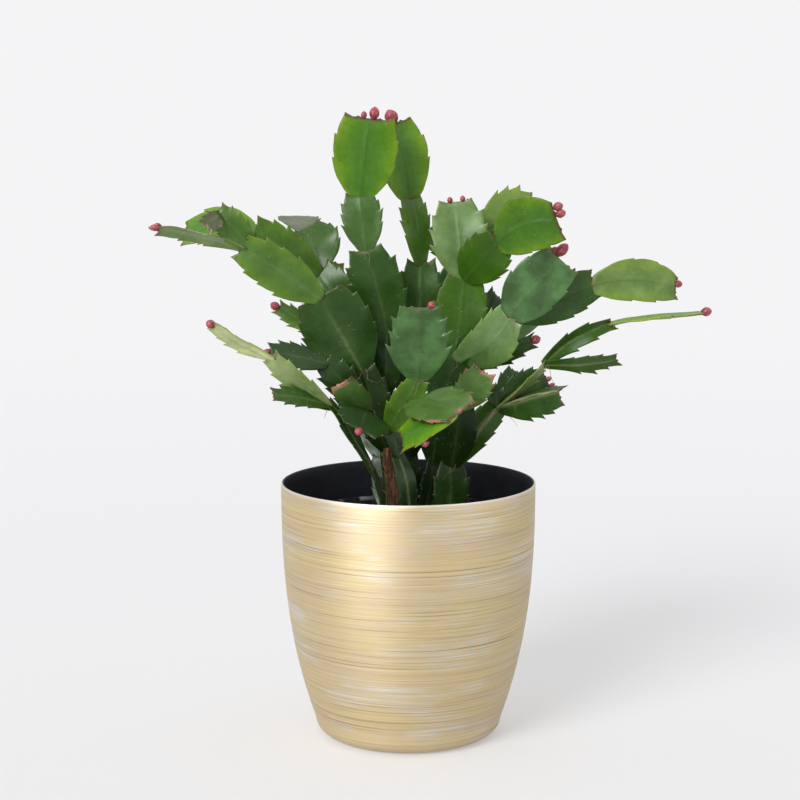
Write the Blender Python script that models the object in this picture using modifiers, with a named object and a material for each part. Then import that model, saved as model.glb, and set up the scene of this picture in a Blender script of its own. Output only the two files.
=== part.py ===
"""A holiday cactus in a gilded cover pot.

Rooted stems of flat, clawed pads stand in the soil of a black nursery pot, and that pot
stands inside a thin gold cover pot. Metres, +Z up, the viewer looks along +Y, and the
origin is the centre of the cover pot's underside.
"""
import math
from collections import namedtuple

import bmesh
import bpy
from mathutils import Matrix, Vector

MM = 0.001
GAP = 0.3 * MM                    # clearance kept between pieces that touch

POT_HEIGHT = 141.5 * MM
POT_RIM_R = 70.4 * MM             # outside, at the widest
POT_TAPER = 21.5 * MM             # how much narrower the wall's curve is at the table
POT_TAPER_POWER = 2.6
POT_FOOT_R = 42.7 * MM            # the flat that stands on the table
POT_FOOT_RISE = 8.5 * MM          # height of the rounded bottom corner
POT_WALL = 1.5 * MM
POT_FLOOR = 2.0 * MM
POT_SIDES = 48

LINER_BASE_R = 41.0 * MM
LINER_RIM_R = 59.0 * MM
LINER_TOP = 122.0 * MM
LINER_WALL = 1.0 * MM
LINER_FLOOR = 1.4 * MM
LINER_LIP = 2.2 * MM              # how far the rolled rim stands out
LINER_LIP_DROP = 6.0 * MM
LINER_SIDES = 32
DRAIN_HOLES = 6
DRAIN_HOLE_R = 4.0 * MM
DRAIN_CIRCLE_R = 30.0 * MM

SOIL_TOP = 117.0 * MM
SOIL_MOUND = 1.5 * MM             # the middle stands this much higher than the edge
ROOT_DEPTH = 14.0 * MM            # how deep a stem goes into the soil
ROOT_R = 3.2 * MM

PAD_STALK = 2.3 * MM              # half width of a pad where it joins
PAD_SINK = 2.2 * MM               # how far a pad's stalk runs into what it grows from
PAD_MID_THICK = 2.4 * MM
PAD_EDGE_THICK = 0.9 * MM
PAD_LEAD = 2.6 * MM               # how far the margin runs ahead of the midrib
PAD_FALL_POWER = 2.4

FRONT = (0, -1, 0)
BACK = (0, 1, 0)
UP = (0, 0, 1)

# How a pad's outline runs: where it is widest, how round its shoulder is, its apex
# width as a share of the whole, the claws on each side, and their reach and hook in mm.
Form = namedtuple("Form", "widest shoulder apex claws reach hook horn")
YOUNG = Form(0.52, 0.52, 0.72, 2, 1.2, 0.9, 1.6)
OLD = Form(0.52, 0.66, 0.56, 3, 1.5, 1.1, 1.8)
CLAWED = Form(0.50, 0.60, 0.50, 3, 2.4, 1.4, 1.6)
SLIM = Form(0.50, 0.90, 0.50, 2, 1.2, 1.0, 1.4)
BROAD = Form(0.50, 0.60, 0.60, 3, 1.4, 1.0, 0.4)
SCALLOPED = Form(0.42, 0.60, 0.60, 3, 3.0, 2.6, 0.3)
PALE = Form(0.46, 0.50, 0.48, 2, 0.8, 0.6, 1.6)
ROUND = Form(0.46, 0.46, 0.66, 2, 1.1, 0.8, 1.0)

for old_object in list(bpy.data.objects):
    bpy.data.objects.remove(old_object, do_unlink=True)


def new_collection(name):
    collection = bpy.data.collections.new(name)
    bpy.context.scene.collection.children.link(collection)
    return collection


CACTUS = new_collection("potted_holiday_cactus")
CUTTERS = new_collection("cutters")


def new_material(name, colour, roughness, metallic=0.0):
    material = bpy.data.materials.new(name)
    material.use_nodes = True
    shader = material.node_tree.nodes["Principled BSDF"]
    shader.inputs["Base Color"].default_value = (*colour, 1.0)
    shader.inputs["Roughness"].default_value = roughness
    shader.inputs["Metallic"].default_value = metallic
    return material


GOLD = new_material("gold_lacquer", (0.56, 0.43, 0.22), 0.38, 0.8)
BLACK = new_material("black_plastic", (0.012, 0.013, 0.018), 0.45)
EARTH = new_material("potting_soil", (0.06, 0.035, 0.02), 0.95)
GREEN = new_material("cactus_green", (0.07, 0.20, 0.04), 0.4)


def add_object(name, mesh, collection, material):
    obj = bpy.data.objects.new(name, mesh)
    collection.objects.link(obj)
    if material is not None:
        mesh.materials.append(material)
    return obj


def smooth(mesh, angle=40):
    mesh.shade_smooth()
    mesh.set_sharp_from_angle(angle=math.radians(angle))


def turned(name, profile, sides, material):
    """A turned piece: the profile starts on the axis inside and ends on it underneath."""
    mesh = bpy.data.meshes.new(name)
    points = [(radius, 0, height) for radius, height in profile]
    edges = [(i, i + 1) for i in range(len(points) - 1)]
    mesh.from_pydata(points, edges, [])
    obj = add_object(name, mesh, CACTUS, material)
    screw = obj.modifiers.new("turn", "SCREW")
    screw.steps = sides
    screw.render_steps = sides
    screw.use_merge_vertices = True
    screw.merge_threshold = 0.00002
    screw.use_smooth_shade = True
    return obj


def cut(obj, cutters, name):
    """Cut every object of a list out of a piece."""
    collection = bpy.data.collections.new(name)
    CUTTERS.children.link(collection)
    for cutter in cutters:
        collection.objects.link(cutter)
        cutter.hide_render = True
        cutter.display_type = "WIRE"
    boolean = obj.modifiers.new(name, "BOOLEAN")
    boolean.operation = "DIFFERENCE"
    boolean.operand_type = "COLLECTION"
    boolean.collection = collection
    boolean.solver = "EXACT"


def upright_cylinder(name, centre, radius, low, high, sides):
    bm = bmesh.new()
    place = Matrix.Translation((centre[0], centre[1], 0.5 * (low + high)))
    bmesh.ops.create_cone(
        bm, cap_ends=True, segments=sides, radius1=radius, radius2=radius,
        depth=high - low, matrix=place)
    mesh = bpy.data.meshes.new(name)
    bm.to_mesh(mesh)
    bm.free()
    return bpy.data.objects.new(name, mesh)


def pot_radius(height):
    """Outside radius of the cover pot's wall, above its rounded corner."""
    return POT_RIM_R - POT_TAPER * (1 - height / POT_HEIGHT) ** POT_TAPER_POWER


def build_cover_pot():
    wall_heights = [POT_HEIGHT * share for share in (0.85, 0.66, 0.47, 0.3, 0.16)]
    lip = 0.5 * POT_WALL
    corner_r = pot_radius(POT_FOOT_RISE)
    outside = [(pot_radius(POT_HEIGHT) - 0.3 * lip, POT_HEIGHT - 0.15 * lip)]
    outside += [(pot_radius(POT_HEIGHT), POT_HEIGHT - lip)]
    outside += [(pot_radius(height), height) for height in wall_heights]
    for degrees in (90, 60, 30, 0):
        turn = math.radians(degrees)
        radius = POT_FOOT_R + (corner_r - POT_FOOT_R) * math.sin(turn)
        outside.append((radius, POT_FOOT_RISE * (1 - math.cos(turn))))
    inside = [(0, POT_FLOOR), (POT_FOOT_R, POT_FLOOR)]
    inside += [(corner_r - 1.6 * POT_WALL, POT_FOOT_RISE)]
    inside += [(pot_radius(height) - POT_WALL, height) for height in reversed(wall_heights)]
    inside += [(pot_radius(POT_HEIGHT) - POT_WALL, POT_HEIGHT - lip)]
    inside += [(pot_radius(POT_HEIGHT) - 1.7 * lip, POT_HEIGHT - 0.15 * lip)]
    top = [(pot_radius(POT_HEIGHT) - lip, POT_HEIGHT)]
    return turned("cover_pot", inside + top + outside + [(0, 0)], POT_SIDES, GOLD)


def liner_radius(height):
    """Outside radius of the nursery pot's straight tapered wall."""
    share = (height - POT_FLOOR) / (LINER_TOP - POT_FLOOR)
    return LINER_BASE_R + (LINER_RIM_R - LINER_BASE_R) * share


def build_nursery_pot():
    low = POT_FLOOR + GAP
    floor_top = low + LINER_FLOOR
    under_lip = LINER_TOP - LINER_LIP_DROP
    profile = [
        (0, floor_top),
        (liner_radius(floor_top) - LINER_WALL, floor_top),
        (liner_radius(LINER_TOP) - LINER_WALL, LINER_TOP),
        (liner_radius(LINER_TOP) + LINER_LIP - 0.6 * MM, LINER_TOP),
        (liner_radius(LINER_TOP) + LINER_LIP, LINER_TOP - 0.8 * MM),
        (liner_radius(LINER_TOP) + LINER_LIP, under_lip),
        (liner_radius(under_lip), under_lip),
        (liner_radius(low + 2 * MM), low + 2 * MM),
        (LINER_BASE_R - 2 * MM, low),
        (0, low),
    ]
    liner = turned("nursery_pot", profile, LINER_SIDES, BLACK)
    drills = []
    for i in range(DRAIN_HOLES):
        turn = 2 * math.pi * i / DRAIN_HOLES
        centre = (DRAIN_CIRCLE_R * math.cos(turn), DRAIN_CIRCLE_R * math.sin(turn))
        drills.append(upright_cylinder(
            "drain_cutter", centre, DRAIN_HOLE_R, low - MM, floor_top + MM, 10))
    cut(liner, drills, "drain_holes")
    return liner


def build_soil(stems):
    low = POT_FLOOR + GAP + LINER_FLOOR + GAP
    high = SOIL_TOP
    inner = LINER_WALL + GAP
    profile = [
        (0, high + SOIL_MOUND),
        (20 * MM, high + 0.8 * SOIL_MOUND),
        (42 * MM, high + 0.1 * SOIL_MOUND),
        (liner_radius(high - 2 * MM) - inner - 2 * MM, high - 0.6 * MM),
        (liner_radius(high - 2 * MM) - inner, high - 2 * MM),
        (liner_radius(low) - inner, low),
        (0, low),
    ]
    soil = turned("soil", profile, LINER_SIDES, EARTH)
    sides = 12
    drills = []
    for stem in stems:
        radius = (stem.root_radius + GAP) / math.cos(math.pi / sides)
        drills.append(upright_cylinder(
            "stem_hole_cutter", stem.root, radius,
            SOIL_TOP - ROOT_DEPTH - GAP, SOIL_TOP + 10 * MM, sides))
    cut(soil, drills, "stem_holes")
    return soil


class Pad:
    """One flat stem segment: its own axes, and the shape that every mesh of it follows."""

    def __init__(self, base, tip, width, faces, turn, bow, bend, fold, twist, wave, form):
        self.base = base
        self.tip = tip
        self.along = (tip - base).normalized()
        self.length = (tip - base).length
        self.width = width
        self.bow = bow
        self.bend = bend
        self.fold = fold
        self.twist = math.radians(twist)
        self.wave = wave
        self.form = form
        ahead = Vector(faces)
        ahead = (ahead - ahead.dot(self.along) * self.along).normalized()
        across = self.along.cross(ahead)
        swing = math.radians(turn)
        self.normal = (math.cos(swing) * ahead + math.sin(swing) * across).normalized()
        self.across = self.along.cross(self.normal)

    def claw_places(self):
        """Where along its length the pad has claws; the last pair are the apex horns."""
        first = 0.40
        step = (1 - first) / self.form.claws
        return [first + step * i for i in range(self.form.claws)] + [1.0]

    def claw(self, t):
        """How far out a claw stands at t, from 0 in a notch to 1 at a claw's point."""
        start = 0.12
        for place in self.claw_places():
            if t <= place:
                return max(0.0, (t - start) / (place - start)) ** 4
            start = place
        return 0.0

    def half_width(self, t):
        form = self.form
        half = 0.5 * self.width
        if t < form.widest:
            rise = math.sin(0.5 * math.pi * t / form.widest) ** form.shoulder
            return PAD_STALK + (half - PAD_STALK) * rise
        fall = ((t - form.widest) / (1 - form.widest)) ** PAD_FALL_POWER
        return half * (1 - (1 - form.apex) * fall)

    def point(self, u, t, side):
        """A point of the pad: u across from -1 to 1, t along it, side -1 or 1 by face."""
        form = self.form
        claw = self.claw(t)
        edge = max(0.0, (abs(u) - 0.75) / 0.25)
        x = u * self.half_width(t) + math.copysign(form.reach * MM * claw * edge, u)
        hook = form.hook if t < 1 else form.horn
        y = PAD_LEAD * math.sin(math.pi * t) * u * u + hook * MM * claw * edge
        hump = 4 * t * (1 - t)
        swing = self.twist * (t - 0.5)
        across = math.cos(swing) * self.across + math.sin(swing) * self.normal
        normal = math.cos(swing) * self.normal - math.sin(swing) * self.across
        bulge = self.bow * normal + self.bend * across
        run = (self.length * self.along + 4 * (1 - 2 * t) * bulge).normalized()
        face = across.cross(run).normalized()
        middle = self.base + t * self.length * self.along + hump * bulge
        lift = self.fold * 2 * abs(x) / self.width
        lift += self.wave * math.sin(11 * t + 2 * u) * u * u
        thick = PAD_EDGE_THICK + (PAD_MID_THICK - PAD_EDGE_THICK) * (1 - abs(u))
        if t == 0:
            thick = PAD_MID_THICK
        return middle + x * across + y * run + (lift + 0.5 * side * thick) * face

    def rows(self):
        """Where the mesh has its rows: round the shoulder, and at each claw and notch."""
        rows = [0.0, 0.18]
        for place in self.claw_places()[:-1]:
            rows += [place, place + 0.035]
        return rows + [1.0]

    def mesh(self):
        """A closed flat slab, two columns wide, bent to the pad's shape."""
        rows = self.rows()
        columns = 2
        slab = 0.1
        bm = bmesh.new()
        bmesh.ops.create_grid(
            bm, x_segments=columns, y_segments=len(rows) - 1, size=1.0)
        bmesh.ops.triangulate(bm, faces=bm.faces[:], quad_method="FIXED")
        bmesh.ops.solidify(bm, geom=bm.faces[:], thickness=slab)
        middle = 0.5 * (min(v.co.z for v in bm.verts) + max(v.co.z for v in bm.verts))
        for vert in bm.verts:
            row = round(0.5 * (vert.co.y + 1) * (len(rows) - 1))
            side = 1 if vert.co.z > middle else -1
            vert.co = self.point(vert.co.x, rows[row], side)
        bmesh.ops.recalc_face_normals(bm, faces=bm.faces[:])
        mesh = bpy.data.meshes.new("pad")
        bm.to_mesh(mesh)
        bm.free()
        return mesh


def tube_object(name, points, radii, sides):
    """A tapering tube through a few points, made a mesh with welded caps."""
    curve = bpy.data.curves.new(name, "CURVE")
    curve.dimensions = "3D"
    curve.bevel_depth = 1.0
    curve.bevel_resolution = sides // 4
    curve.use_fill_caps = True
    spline = curve.splines.new("POLY")
    spline.points.add(len(points) - 1)
    for point, place, radius in zip(spline.points, points, radii):
        point.co = (*place, 1)
        point.radius = radius
    draft = bpy.data.objects.new(name + "_draft", curve)
    CACTUS.objects.link(draft)
    bpy.context.view_layer.update()
    evaluated = draft.evaluated_get(bpy.context.evaluated_depsgraph_get())
    mesh = bpy.data.meshes.new_from_object(evaluated)
    bpy.data.objects.remove(draft, do_unlink=True)
    bm = bmesh.new()
    bm.from_mesh(mesh)
    bmesh.ops.remove_doubles(bm, verts=bm.verts[:], dist=0.00001)
    bmesh.ops.recalc_face_normals(bm, faces=bm.faces[:])
    bm.to_mesh(mesh)
    bm.free()
    return add_object(name, mesh, CACTUS, None)


class Stem:
    """A rooted stem and every pad and bud that grows from it, fused into one body."""

    def __init__(self, name, root, foot=None, root_radius=ROOT_R):
        self.name = name
        self.root = (root[0] * MM, root[1] * MM)
        self.root_radius = root_radius
        low = SOIL_TOP - ROOT_DEPTH
        above = SOIL_TOP + 4 * MM
        points = [(*self.root, low), (*self.root, above)]
        radii = [root_radius, root_radius]
        for x, y, z, radius in foot or []:
            points.append((x * MM, y * MM, z * MM))
            radii.append(radius * MM)
        self.body = tube_object(name, points, radii, 8)
        self.pads = {}
        self.foot_top = Vector(points[-1]) - Vector((0, 0, PAD_SINK))
        self.repeats = bpy.data.collections.new(name + "_pads")
        CACTUS.children.link(self.repeats)

    def pad(self, name, parent, tip, width, faces=FRONT, turn=0, form=OLD, base=None,
            bow=1.5, bend=0, fold=1.0, twist=0, wave=0.4):
        """Grow a pad from its parent's tip; lengths in mm, turns in degrees."""
        if base is not None:
            start = Vector(base) * MM
        elif parent is None:
            start = self.foot_top
        else:
            start = self.pads[parent].tip - PAD_SINK * self.pads[parent].along
        new = Pad(start, Vector(tip) * MM, width * MM, faces, turn, bow * MM, bend * MM,
                  fold * MM, twist, wave * MM, form)
        self.pads[name] = new
        add_object(self.name + "_" + name, new.mesh(), self.repeats, None)

    def bud(self, parent, beside, radius, length, sink=1.0, turn=0):
        """A flower bud on a pad's apex, so many mm to the right of the middle."""
        pad = self.pads[parent]
        bm = bmesh.new()
        bmesh.ops.create_uvsphere(bm, u_segments=6, v_segments=4, radius=1.0)
        bmesh.ops.scale(bm, vec=(radius * MM, radius * MM, 0.5 * length * MM), verts=bm.verts[:])
        lean = math.radians(turn)
        up = math.cos(lean) * pad.along + math.sin(lean) * pad.across
        frame = Matrix((pad.normal.cross(up), pad.normal, up)).transposed().to_4x4()
        centre = pad.tip + beside * MM * pad.across + (0.5 * length - sink) * MM * up
        bmesh.ops.transform(bm, matrix=Matrix.Translation(centre) @ frame, verts=bm.verts[:])
        bmesh.ops.recalc_face_normals(bm, faces=bm.faces[:])
        mesh = bpy.data.meshes.new("bud")
        bm.to_mesh(mesh)
        bm.free()
        add_object(self.name + "_bud", mesh, self.repeats, None)

    def fuse(self):
        """Join the stem's repeats with one union, and leave one plain mesh object."""
        union = self.body.modifiers.new("fuse", "BOOLEAN")
        union.operation = "UNION"
        union.operand_type = "COLLECTION"
        union.collection = self.repeats
        union.solver = "EXACT"
        bpy.context.view_layer.update()
        evaluated = self.body.evaluated_get(bpy.context.evaluated_depsgraph_get())
        mesh = bpy.data.meshes.new_from_object(evaluated)
        self.body.modifiers.clear()
        self.body.data = mesh
        mesh.materials.clear()
        mesh.materials.append(GREEN)
        smooth(mesh, 35)
        for repeat in list(self.repeats.objects):
            bpy.data.objects.remove(repeat, do_unlink=True)
        bpy.data.collections.remove(self.repeats)


def build_stem_trunk():
    """The old corky trunk, the big pads of the left side and the left crown pad."""
    stem = Stem("stem_trunk", (-7, 0), root_radius=3.8 * MM,
                foot=[(-8, -1, 136, 3.6), (-10, -2, 148, 3.5), (-12, -3, 161, 3.2)])
    stem.pad("knee", None, (-24, -10, 184), 13, turn=20)
    stem.pad("knee_round", "knee", (-35.5, -27.5, 200), 16, form=ROUND, turn=-10)
    stem.pad("knee_apron", "knee", (-26, -46, 177), 28, faces=UP, turn=-28)
    stem.pad("knee_left", "knee", (-45, -16, 210), 16, turn=10)
    stem.pad("shade_left", "knee_left", (-74, -26, 216), 13, turn=30)
    stem.pad("inner_left", None, (-25, -10, 205), 20)
    stem.pad("big_left", "inner_left", (-47, -25, 246), 37, fold=-1.5, form=BROAD)
    stem.pad("shade_high", "big_left", (-70, -13, 238.5), 10, base=(-43, -15, 221), turn=30)
    stem.pad("bright_left", "big_left", (-87, -33, 273), 22, fold=2.5, turn=-10, bend=1)
    stem.pad("far_left", "bright_left", (-130, -40, 283), 11, turn=-58, fold=2.0, bow=-2, form=YOUNG)
    stem.pad("arch_left", "bright_left", (-100, -35, 291), 14, base=(-82, -31, 271.5), turn=10,
             fold=2.5)
    stem.pad("arch_flap", "arch_left", (-105, -45, 284), 9, form=YOUNG)
    stem.pad("inner_mid", None, (-13, 2, 189), 14)
    stem.pad("inner_high", "inner_mid", (-11, 0, 225), 15)
    stem.pad("tall_left", "inner_high", (-23, -6, 270), 27, form=CLAWED, bend=1)
    stem.pad("neck_left", "tall_left", (-26.5, -2, 299), 20)
    stem.pad("crown_left", "neck_left", (-21, -4, 340), 33, form=YOUNG)
    stem.bud("crown_left", -3, 1.7, 4.5)
    stem.bud("crown_left", 2.5, 2.8, 7.5)
    stem.pad("behind_left", "inner_mid", (-31, 8, 231), 20)
    stem.pad("high_left", "behind_left", (-50, 14, 256), 24)
    stem.pad("back_left", "high_left", (-59, 32, 279), 30, bend=2)
    stem.pad("back_left_tip", "back_left", (-65, 56, 284), 21, faces=UP)
    stem.pad("behind_bright", "high_left", (-85, 4, 280), 22)
    stem.pad("dome_left", "behind_bright", (-123, 14, 277), 22, form=ROUND, turn=40, bow=2, bend=4)
    stem.bud("far_left", 2.6, 1.4, 4.0)
    stem.bud("far_left", 0.2, 1.5, 5.5)
    stem.bud("far_left", -1.8, 1.3, 6.5)
    stem.bud("shade_left", 0, 1.9, 4.5)
    stem.bud("shade_high", 0, 2.4, 6.0)
    stem.bud("knee_apron", 0, 2.2, 5.0)
    return stem


def build_stem_left():
    """The low stem that leans out to the left, seen nearly edge on."""
    stem = Stem("stem_left", (-13.5, -10))
    stem.pad("foot", None, (-20, -12, 150), 9, turn=72, form=SLIM)
    stem.pad("lean", "foot", (-43, -24, 188), 11, turn=65, form=SLIM)
    stem.pad("pale", "lean", (-72, -36, 215), 12.5, turn=-20, fold=2.5)
    stem.pad("outer", "pale", (-102, -42, 232), 14, turn=-55)
    stem.pad("low", "lean", (-71, -44, 195.5), 10, turn=50)
    stem.pad("mid", "lean", (-66, -30, 201), 12, turn=40, form=SLIM)
    stem.bud("outer", 0, 2.4, 5.5)
    stem.bud("mid", 0, 1.5, 4.0)
    return stem


def build_stem_crown():
    """The stem behind the trunk that carries the right crown pad."""
    stem = Stem("stem_crown", (-1, 23))
    stem.pad("foot", None, (0, 24, 152), 14, form=SLIM)
    stem.pad("low", "foot", (0, 22, 182), 20)
    stem.pad("mid", "low", (7, 18, 225), 22)
    stem.pad("high", "mid", (7, 22, 261), 21)
    stem.pad("neck_right", "high", (0.5, 20, 298), 17, turn=35)
    stem.pad("crown_right", "neck_right", (-8.5, 15, 337.5), 28, form=ROUND, turn=28, fold=3)
    stem.bud("crown_right", 1, 3.8, 9.0, turn=-15)
    return stem


def build_stem_front():
    """The front stem with the scalloped pad in the middle and the two that hang forward."""
    stem = Stem("stem_front", (2, -18))
    stem.pad("foot", None, (-6, -16, 158), 13, turn=45, form=SLIM)
    stem.pad("elbow", "foot", (-12, -14, 174), 10, turn=45, form=SLIM)
    stem.pad("fan", "elbow", (6, -35, 203), 15)
    stem.pad("scallop", "fan", (6, -46, 242), 28, form=SCALLOPED)
    stem.pad("shelf", "fan", (27, -60, 188.5), 31, base=(1, -29, 190), turn=-63)
    stem.pad("lime", "shelf", (-3, -56, 173), 27, form=YOUNG, turn=68)
    stem.bud("scallop", 6, 2.0, 4.5)
    stem.bud("lime", -13.0, 1.9, 4.5, sink=14)
    return stem


def build_stem_back():
    """The tall stem of the right side, with the round pads in front of it."""
    stem = Stem("stem_back", (7, 11))
    stem.pad("foot", None, (14, 12, 151), 13, turn=45, form=SLIM)
    stem.pad("low", "foot", (17, 8, 179), 16)
    stem.pad("mid", "low", (26, 4, 210), 20)
    stem.pad("tall", "mid", (31, 6, 254), 27)
    stem.pad("top", "tall", (26, 10, 295), 28, form=CLAWED)
    stem.pad("top_behind", "tall", (14, 40, 280), 17, base=(28, 10, 262))
    stem.pad("round", "tall", (49, -8, 275), 25)
    stem.pad("bright", "round", (79.5, -20, 286), 29, form=ROUND, bend=-4)
    stem.pad("bridge", "tall", (40, 18, 279), 20)
    stem.pad("lime_behind", "bridge", (71, 32, 290), 28, form=CLAWED, bend=-2)
    stem.pad("twisted", "mid", (56, -6, 234), 24, twist=30, bend=5)
    stem.pad("wide", "twisted", (83, -10, 264), 28, form=ROUND, bend=-1.5)
    stem.pad("fan", "twisted", (102, 10, 250), 23)
    stem.pad("pale", "fan", (149, 22, 247), 22, form=PALE, bow=3, bend=-4)
    stem.pad("sliver", "mid", (49, 20, 243), 17, turn=35)
    stem.pad("under", "mid", (68, 4, 219), 12, turn=30, base=(26.5, 5, 204))
    stem.bud("top", -3, 1.6, 4.0)
    stem.bud("top", 4, 1.5, 4.0)
    stem.bud("bright", -7, 2.4, 6.0, sink=0.2)
    stem.bud("bright", -3, 2.4, 6.0, sink=0.2)
    stem.bud("wide", -7, 1.8, 4.5)
    stem.bud("wide", -4, 3.0, 9.0, sink=0.5)
    stem.bud("pale", -2, 2.1, 5.0)
    stem.bud("under", 0, 2.6, 6.0)
    return stem


def build_stem_right():
    """The low stem that leans out to the right and ends in the long thin arm."""
    stem = Stem("stem_right", (23, -6))
    stem.pad("foot", None, (24, -6, 152), 18, form=SLIM)
    stem.pad("dark", "foot", (28, -20, 187), 20)
    stem.pad("brown", "dark", (40, -27, 206), 17)
    stem.pad("ridge", "foot", (50, -9, 185.5), 15, fold=-3, bend=-1)
    stem.pad("apron", "ridge", (80, -34, 196), 16, turn=-45, fold=-7)
    stem.pad("behind", "ridge", (76, -8, 198), 22)
    stem.pad("strut", "ridge", (74, -22, 211), 6, turn=50)
    stem.pad("small", "ridge", (47, -9, 196), 9, form=SLIM)
    stem.pad("small_high", "ridge", (58, -8, 204), 12, form=SLIM)
    stem.pad("arm", "strut", (108, -26, 232), 9.5, turn=15, fold=3, bend=-4, form=SLIM)
    stem.pad("arm_tip", "arm", (156, -30, 238), 13, turn=80, bow=-1)
    stem.pad("low_arm", "strut", (110, -36, 214), 10.5, turn=40)
    stem.bud("arm_tip", 0, 2.5, 6.0)
    stem.bud("low_arm", 4.5, 1.8, 4.0, sink=9)
    stem.bud("behind", -1, 1.4, 4.0)
    stem.bud("behind", 3, 1.4, 4.0)
    return stem


def build_stem_rear_left():
    """A stem at the back left, as full as the ones in front."""
    stem = Stem("stem_rear_left", (-13, 20))
    stem.pad("foot", None, (-16, 34, 150), 12, faces=BACK, form=SLIM)
    stem.pad("low", "foot", (-20, 47, 180), 20, faces=BACK)
    stem.pad("mid", "low", (-34, 58, 214), 26, faces=BACK)
    stem.pad("high", "mid", (-30, 56, 245), 26, faces=BACK, form=CLAWED)
    stem.pad("out", "low", (-36, 80, 196), 22, faces=BACK)
    stem.pad("out_tip", "out", (-52, 104, 190), 20, faces=UP, turn=20, bow=4)
    stem.pad("aside", "mid", (-58, 72, 232), 22, faces=BACK, turn=-25)
    stem.pad("aside_tip", "aside", (-47, 86, 258), 22, faces=BACK, bow=3, form=YOUNG)
    stem.bud("out_tip", 0, 2.2, 5.5)
    return stem


def build_stem_rear_right():
    """A stem at the back right, as full as the ones in front."""
    stem = Stem("stem_rear_right", (20, 18))
    stem.pad("foot", None, (24, 30, 150), 14, faces=BACK, form=SLIM)
    stem.pad("low", "foot", (28, 46, 182), 20, faces=BACK)
    stem.pad("mid", "low", (22, 56, 218), 26, faces=BACK, form=CLAWED)
    stem.pad("high", "mid", (30, 60, 255), 25, faces=BACK)
    stem.pad("out", "low", (30, 82, 197), 22, faces=BACK)
    stem.pad("out_tip", "out", (39, 106, 180), 20, faces=UP, turn=-20, bow=4)
    stem.pad("aside", "mid", (49, 78, 204), 18, faces=BACK, turn=25)
    stem.pad("aside_tip", "aside", (80, 84, 238), 20, faces=BACK, bow=3, form=YOUNG)
    stem.pad("crest", "high", (28, 58, 288), 24, faces=BACK, form=YOUNG)
    stem.bud("out_tip", 0, 1.9, 4.5)
    return stem


build_cover_pot()
build_nursery_pot()
stems = [
    build_stem_trunk(),
    build_stem_left(),
    build_stem_crown(),
    build_stem_front(),
    build_stem_back(),
    build_stem_right(),
    build_stem_rear_left(),
    build_stem_rear_right(),
]
build_soil(stems)
for each_stem in stems:
    each_stem.fuse()
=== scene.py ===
import math
import random
from collections import namedtuple

import bmesh
import bpy
from mathutils import Matrix, Vector, noise


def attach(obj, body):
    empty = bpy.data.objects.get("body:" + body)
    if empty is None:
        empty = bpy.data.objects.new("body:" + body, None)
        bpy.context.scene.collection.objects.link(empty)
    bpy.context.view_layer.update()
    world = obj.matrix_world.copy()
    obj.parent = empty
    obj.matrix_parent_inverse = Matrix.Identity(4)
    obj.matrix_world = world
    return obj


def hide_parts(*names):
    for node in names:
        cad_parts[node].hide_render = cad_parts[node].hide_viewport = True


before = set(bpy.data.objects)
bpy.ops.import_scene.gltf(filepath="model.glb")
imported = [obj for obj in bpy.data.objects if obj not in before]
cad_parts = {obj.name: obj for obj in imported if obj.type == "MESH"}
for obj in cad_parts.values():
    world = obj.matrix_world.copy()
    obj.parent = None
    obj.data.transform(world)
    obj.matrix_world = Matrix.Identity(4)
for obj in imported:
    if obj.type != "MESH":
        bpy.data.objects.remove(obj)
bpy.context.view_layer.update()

# --------------------------------------
# Cover pot. A thin round pot of moulded plastic, lacquered gold and brushed by hand on a
# turntable, which leaves fine streaks round it and a pale worn lip. Its inside is bare
# black plastic, and it stands free on the table.
MM = 0.001
POT_HEIGHT = 141.5 * MM
POT_RIM_R = 70.4 * MM
POT_TAPER = 21.5 * MM
POT_TAPER_POWER = 2.6
POT_FOOT_R = 42.7 * MM
POT_FOOT_RISE = 8.5 * MM
POT_WALL = 1.5 * MM
POT_FLOOR = 2.0 * MM
POT_LIP_R = 0.5 * POT_WALL
POT_STEPS = 144
POT_WALL_ROWS = 26
POT_CORNER_ROWS = 7
POT_LIP_ROWS = 6

GOLD_PALE = (0.94, 0.78, 0.43)
GOLD_PINK = (0.88, 0.73, 0.52)
GOLD_DEEP = (0.61, 0.455, 0.24)
SILVER_WORN = (0.86, 0.84, 0.82)
GREY_SCORED = (0.24, 0.19, 0.11)
BLACK_BLUE = (0.006, 0.007, 0.011)
BLACK_WORN = (0.014, 0.016, 0.024)
STREAK_DRIFT = 0.6 * MM
BROAD_STREAKS = (4, 4, 700)
FINE_STREAKS = (9, 9, 2500)
HAIR_STREAKS = (14, 14, 2700)
SCORED_STREAKS = (9, 9, 2100)
WORN_PATCHES = (22, 22, 55)
HUE_PATCHES = (25, 25, 90)
FINE_SHARE = 0.78


def new_finish(name):
    """Start a finish: its material, its node tree and its shader."""
    material = bpy.data.materials.new(name)
    material.use_nodes = True
    tree = material.node_tree
    return material, tree, tree.nodes["Principled BSDF"]


def join(socket, value):
    """Link a socket to another node's output, or set it to a plain value."""
    if isinstance(value, bpy.types.NodeSocket):
        socket.id_data.links.new(value, socket)
    elif isinstance(value, tuple) and len(value) == 3 and socket.type == "RGBA":
        socket.default_value = (*value, 1.0)
    else:
        socket.default_value = value


def fill(node, inputs):
    """Link or set some of a node's inputs."""
    for key, value in inputs.items():
        join(node.inputs[key], value)
    return node


def add_node(tree, kind, inputs=None, **settings):
    node = tree.nodes.new("ShaderNode" + kind)
    for key, value in settings.items():
        setattr(node, key, value)
    return fill(node, inputs or {})


def tree_of(*values):
    """The node tree of the first socket among some values."""
    return next(value.id_data for value in values if isinstance(value, bpy.types.NodeSocket))


def maths(how, first, second=0.0):
    inputs = {0: first, 1: second}
    return add_node(tree_of(first, second), "Math", inputs, operation=how).outputs[0]


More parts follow.
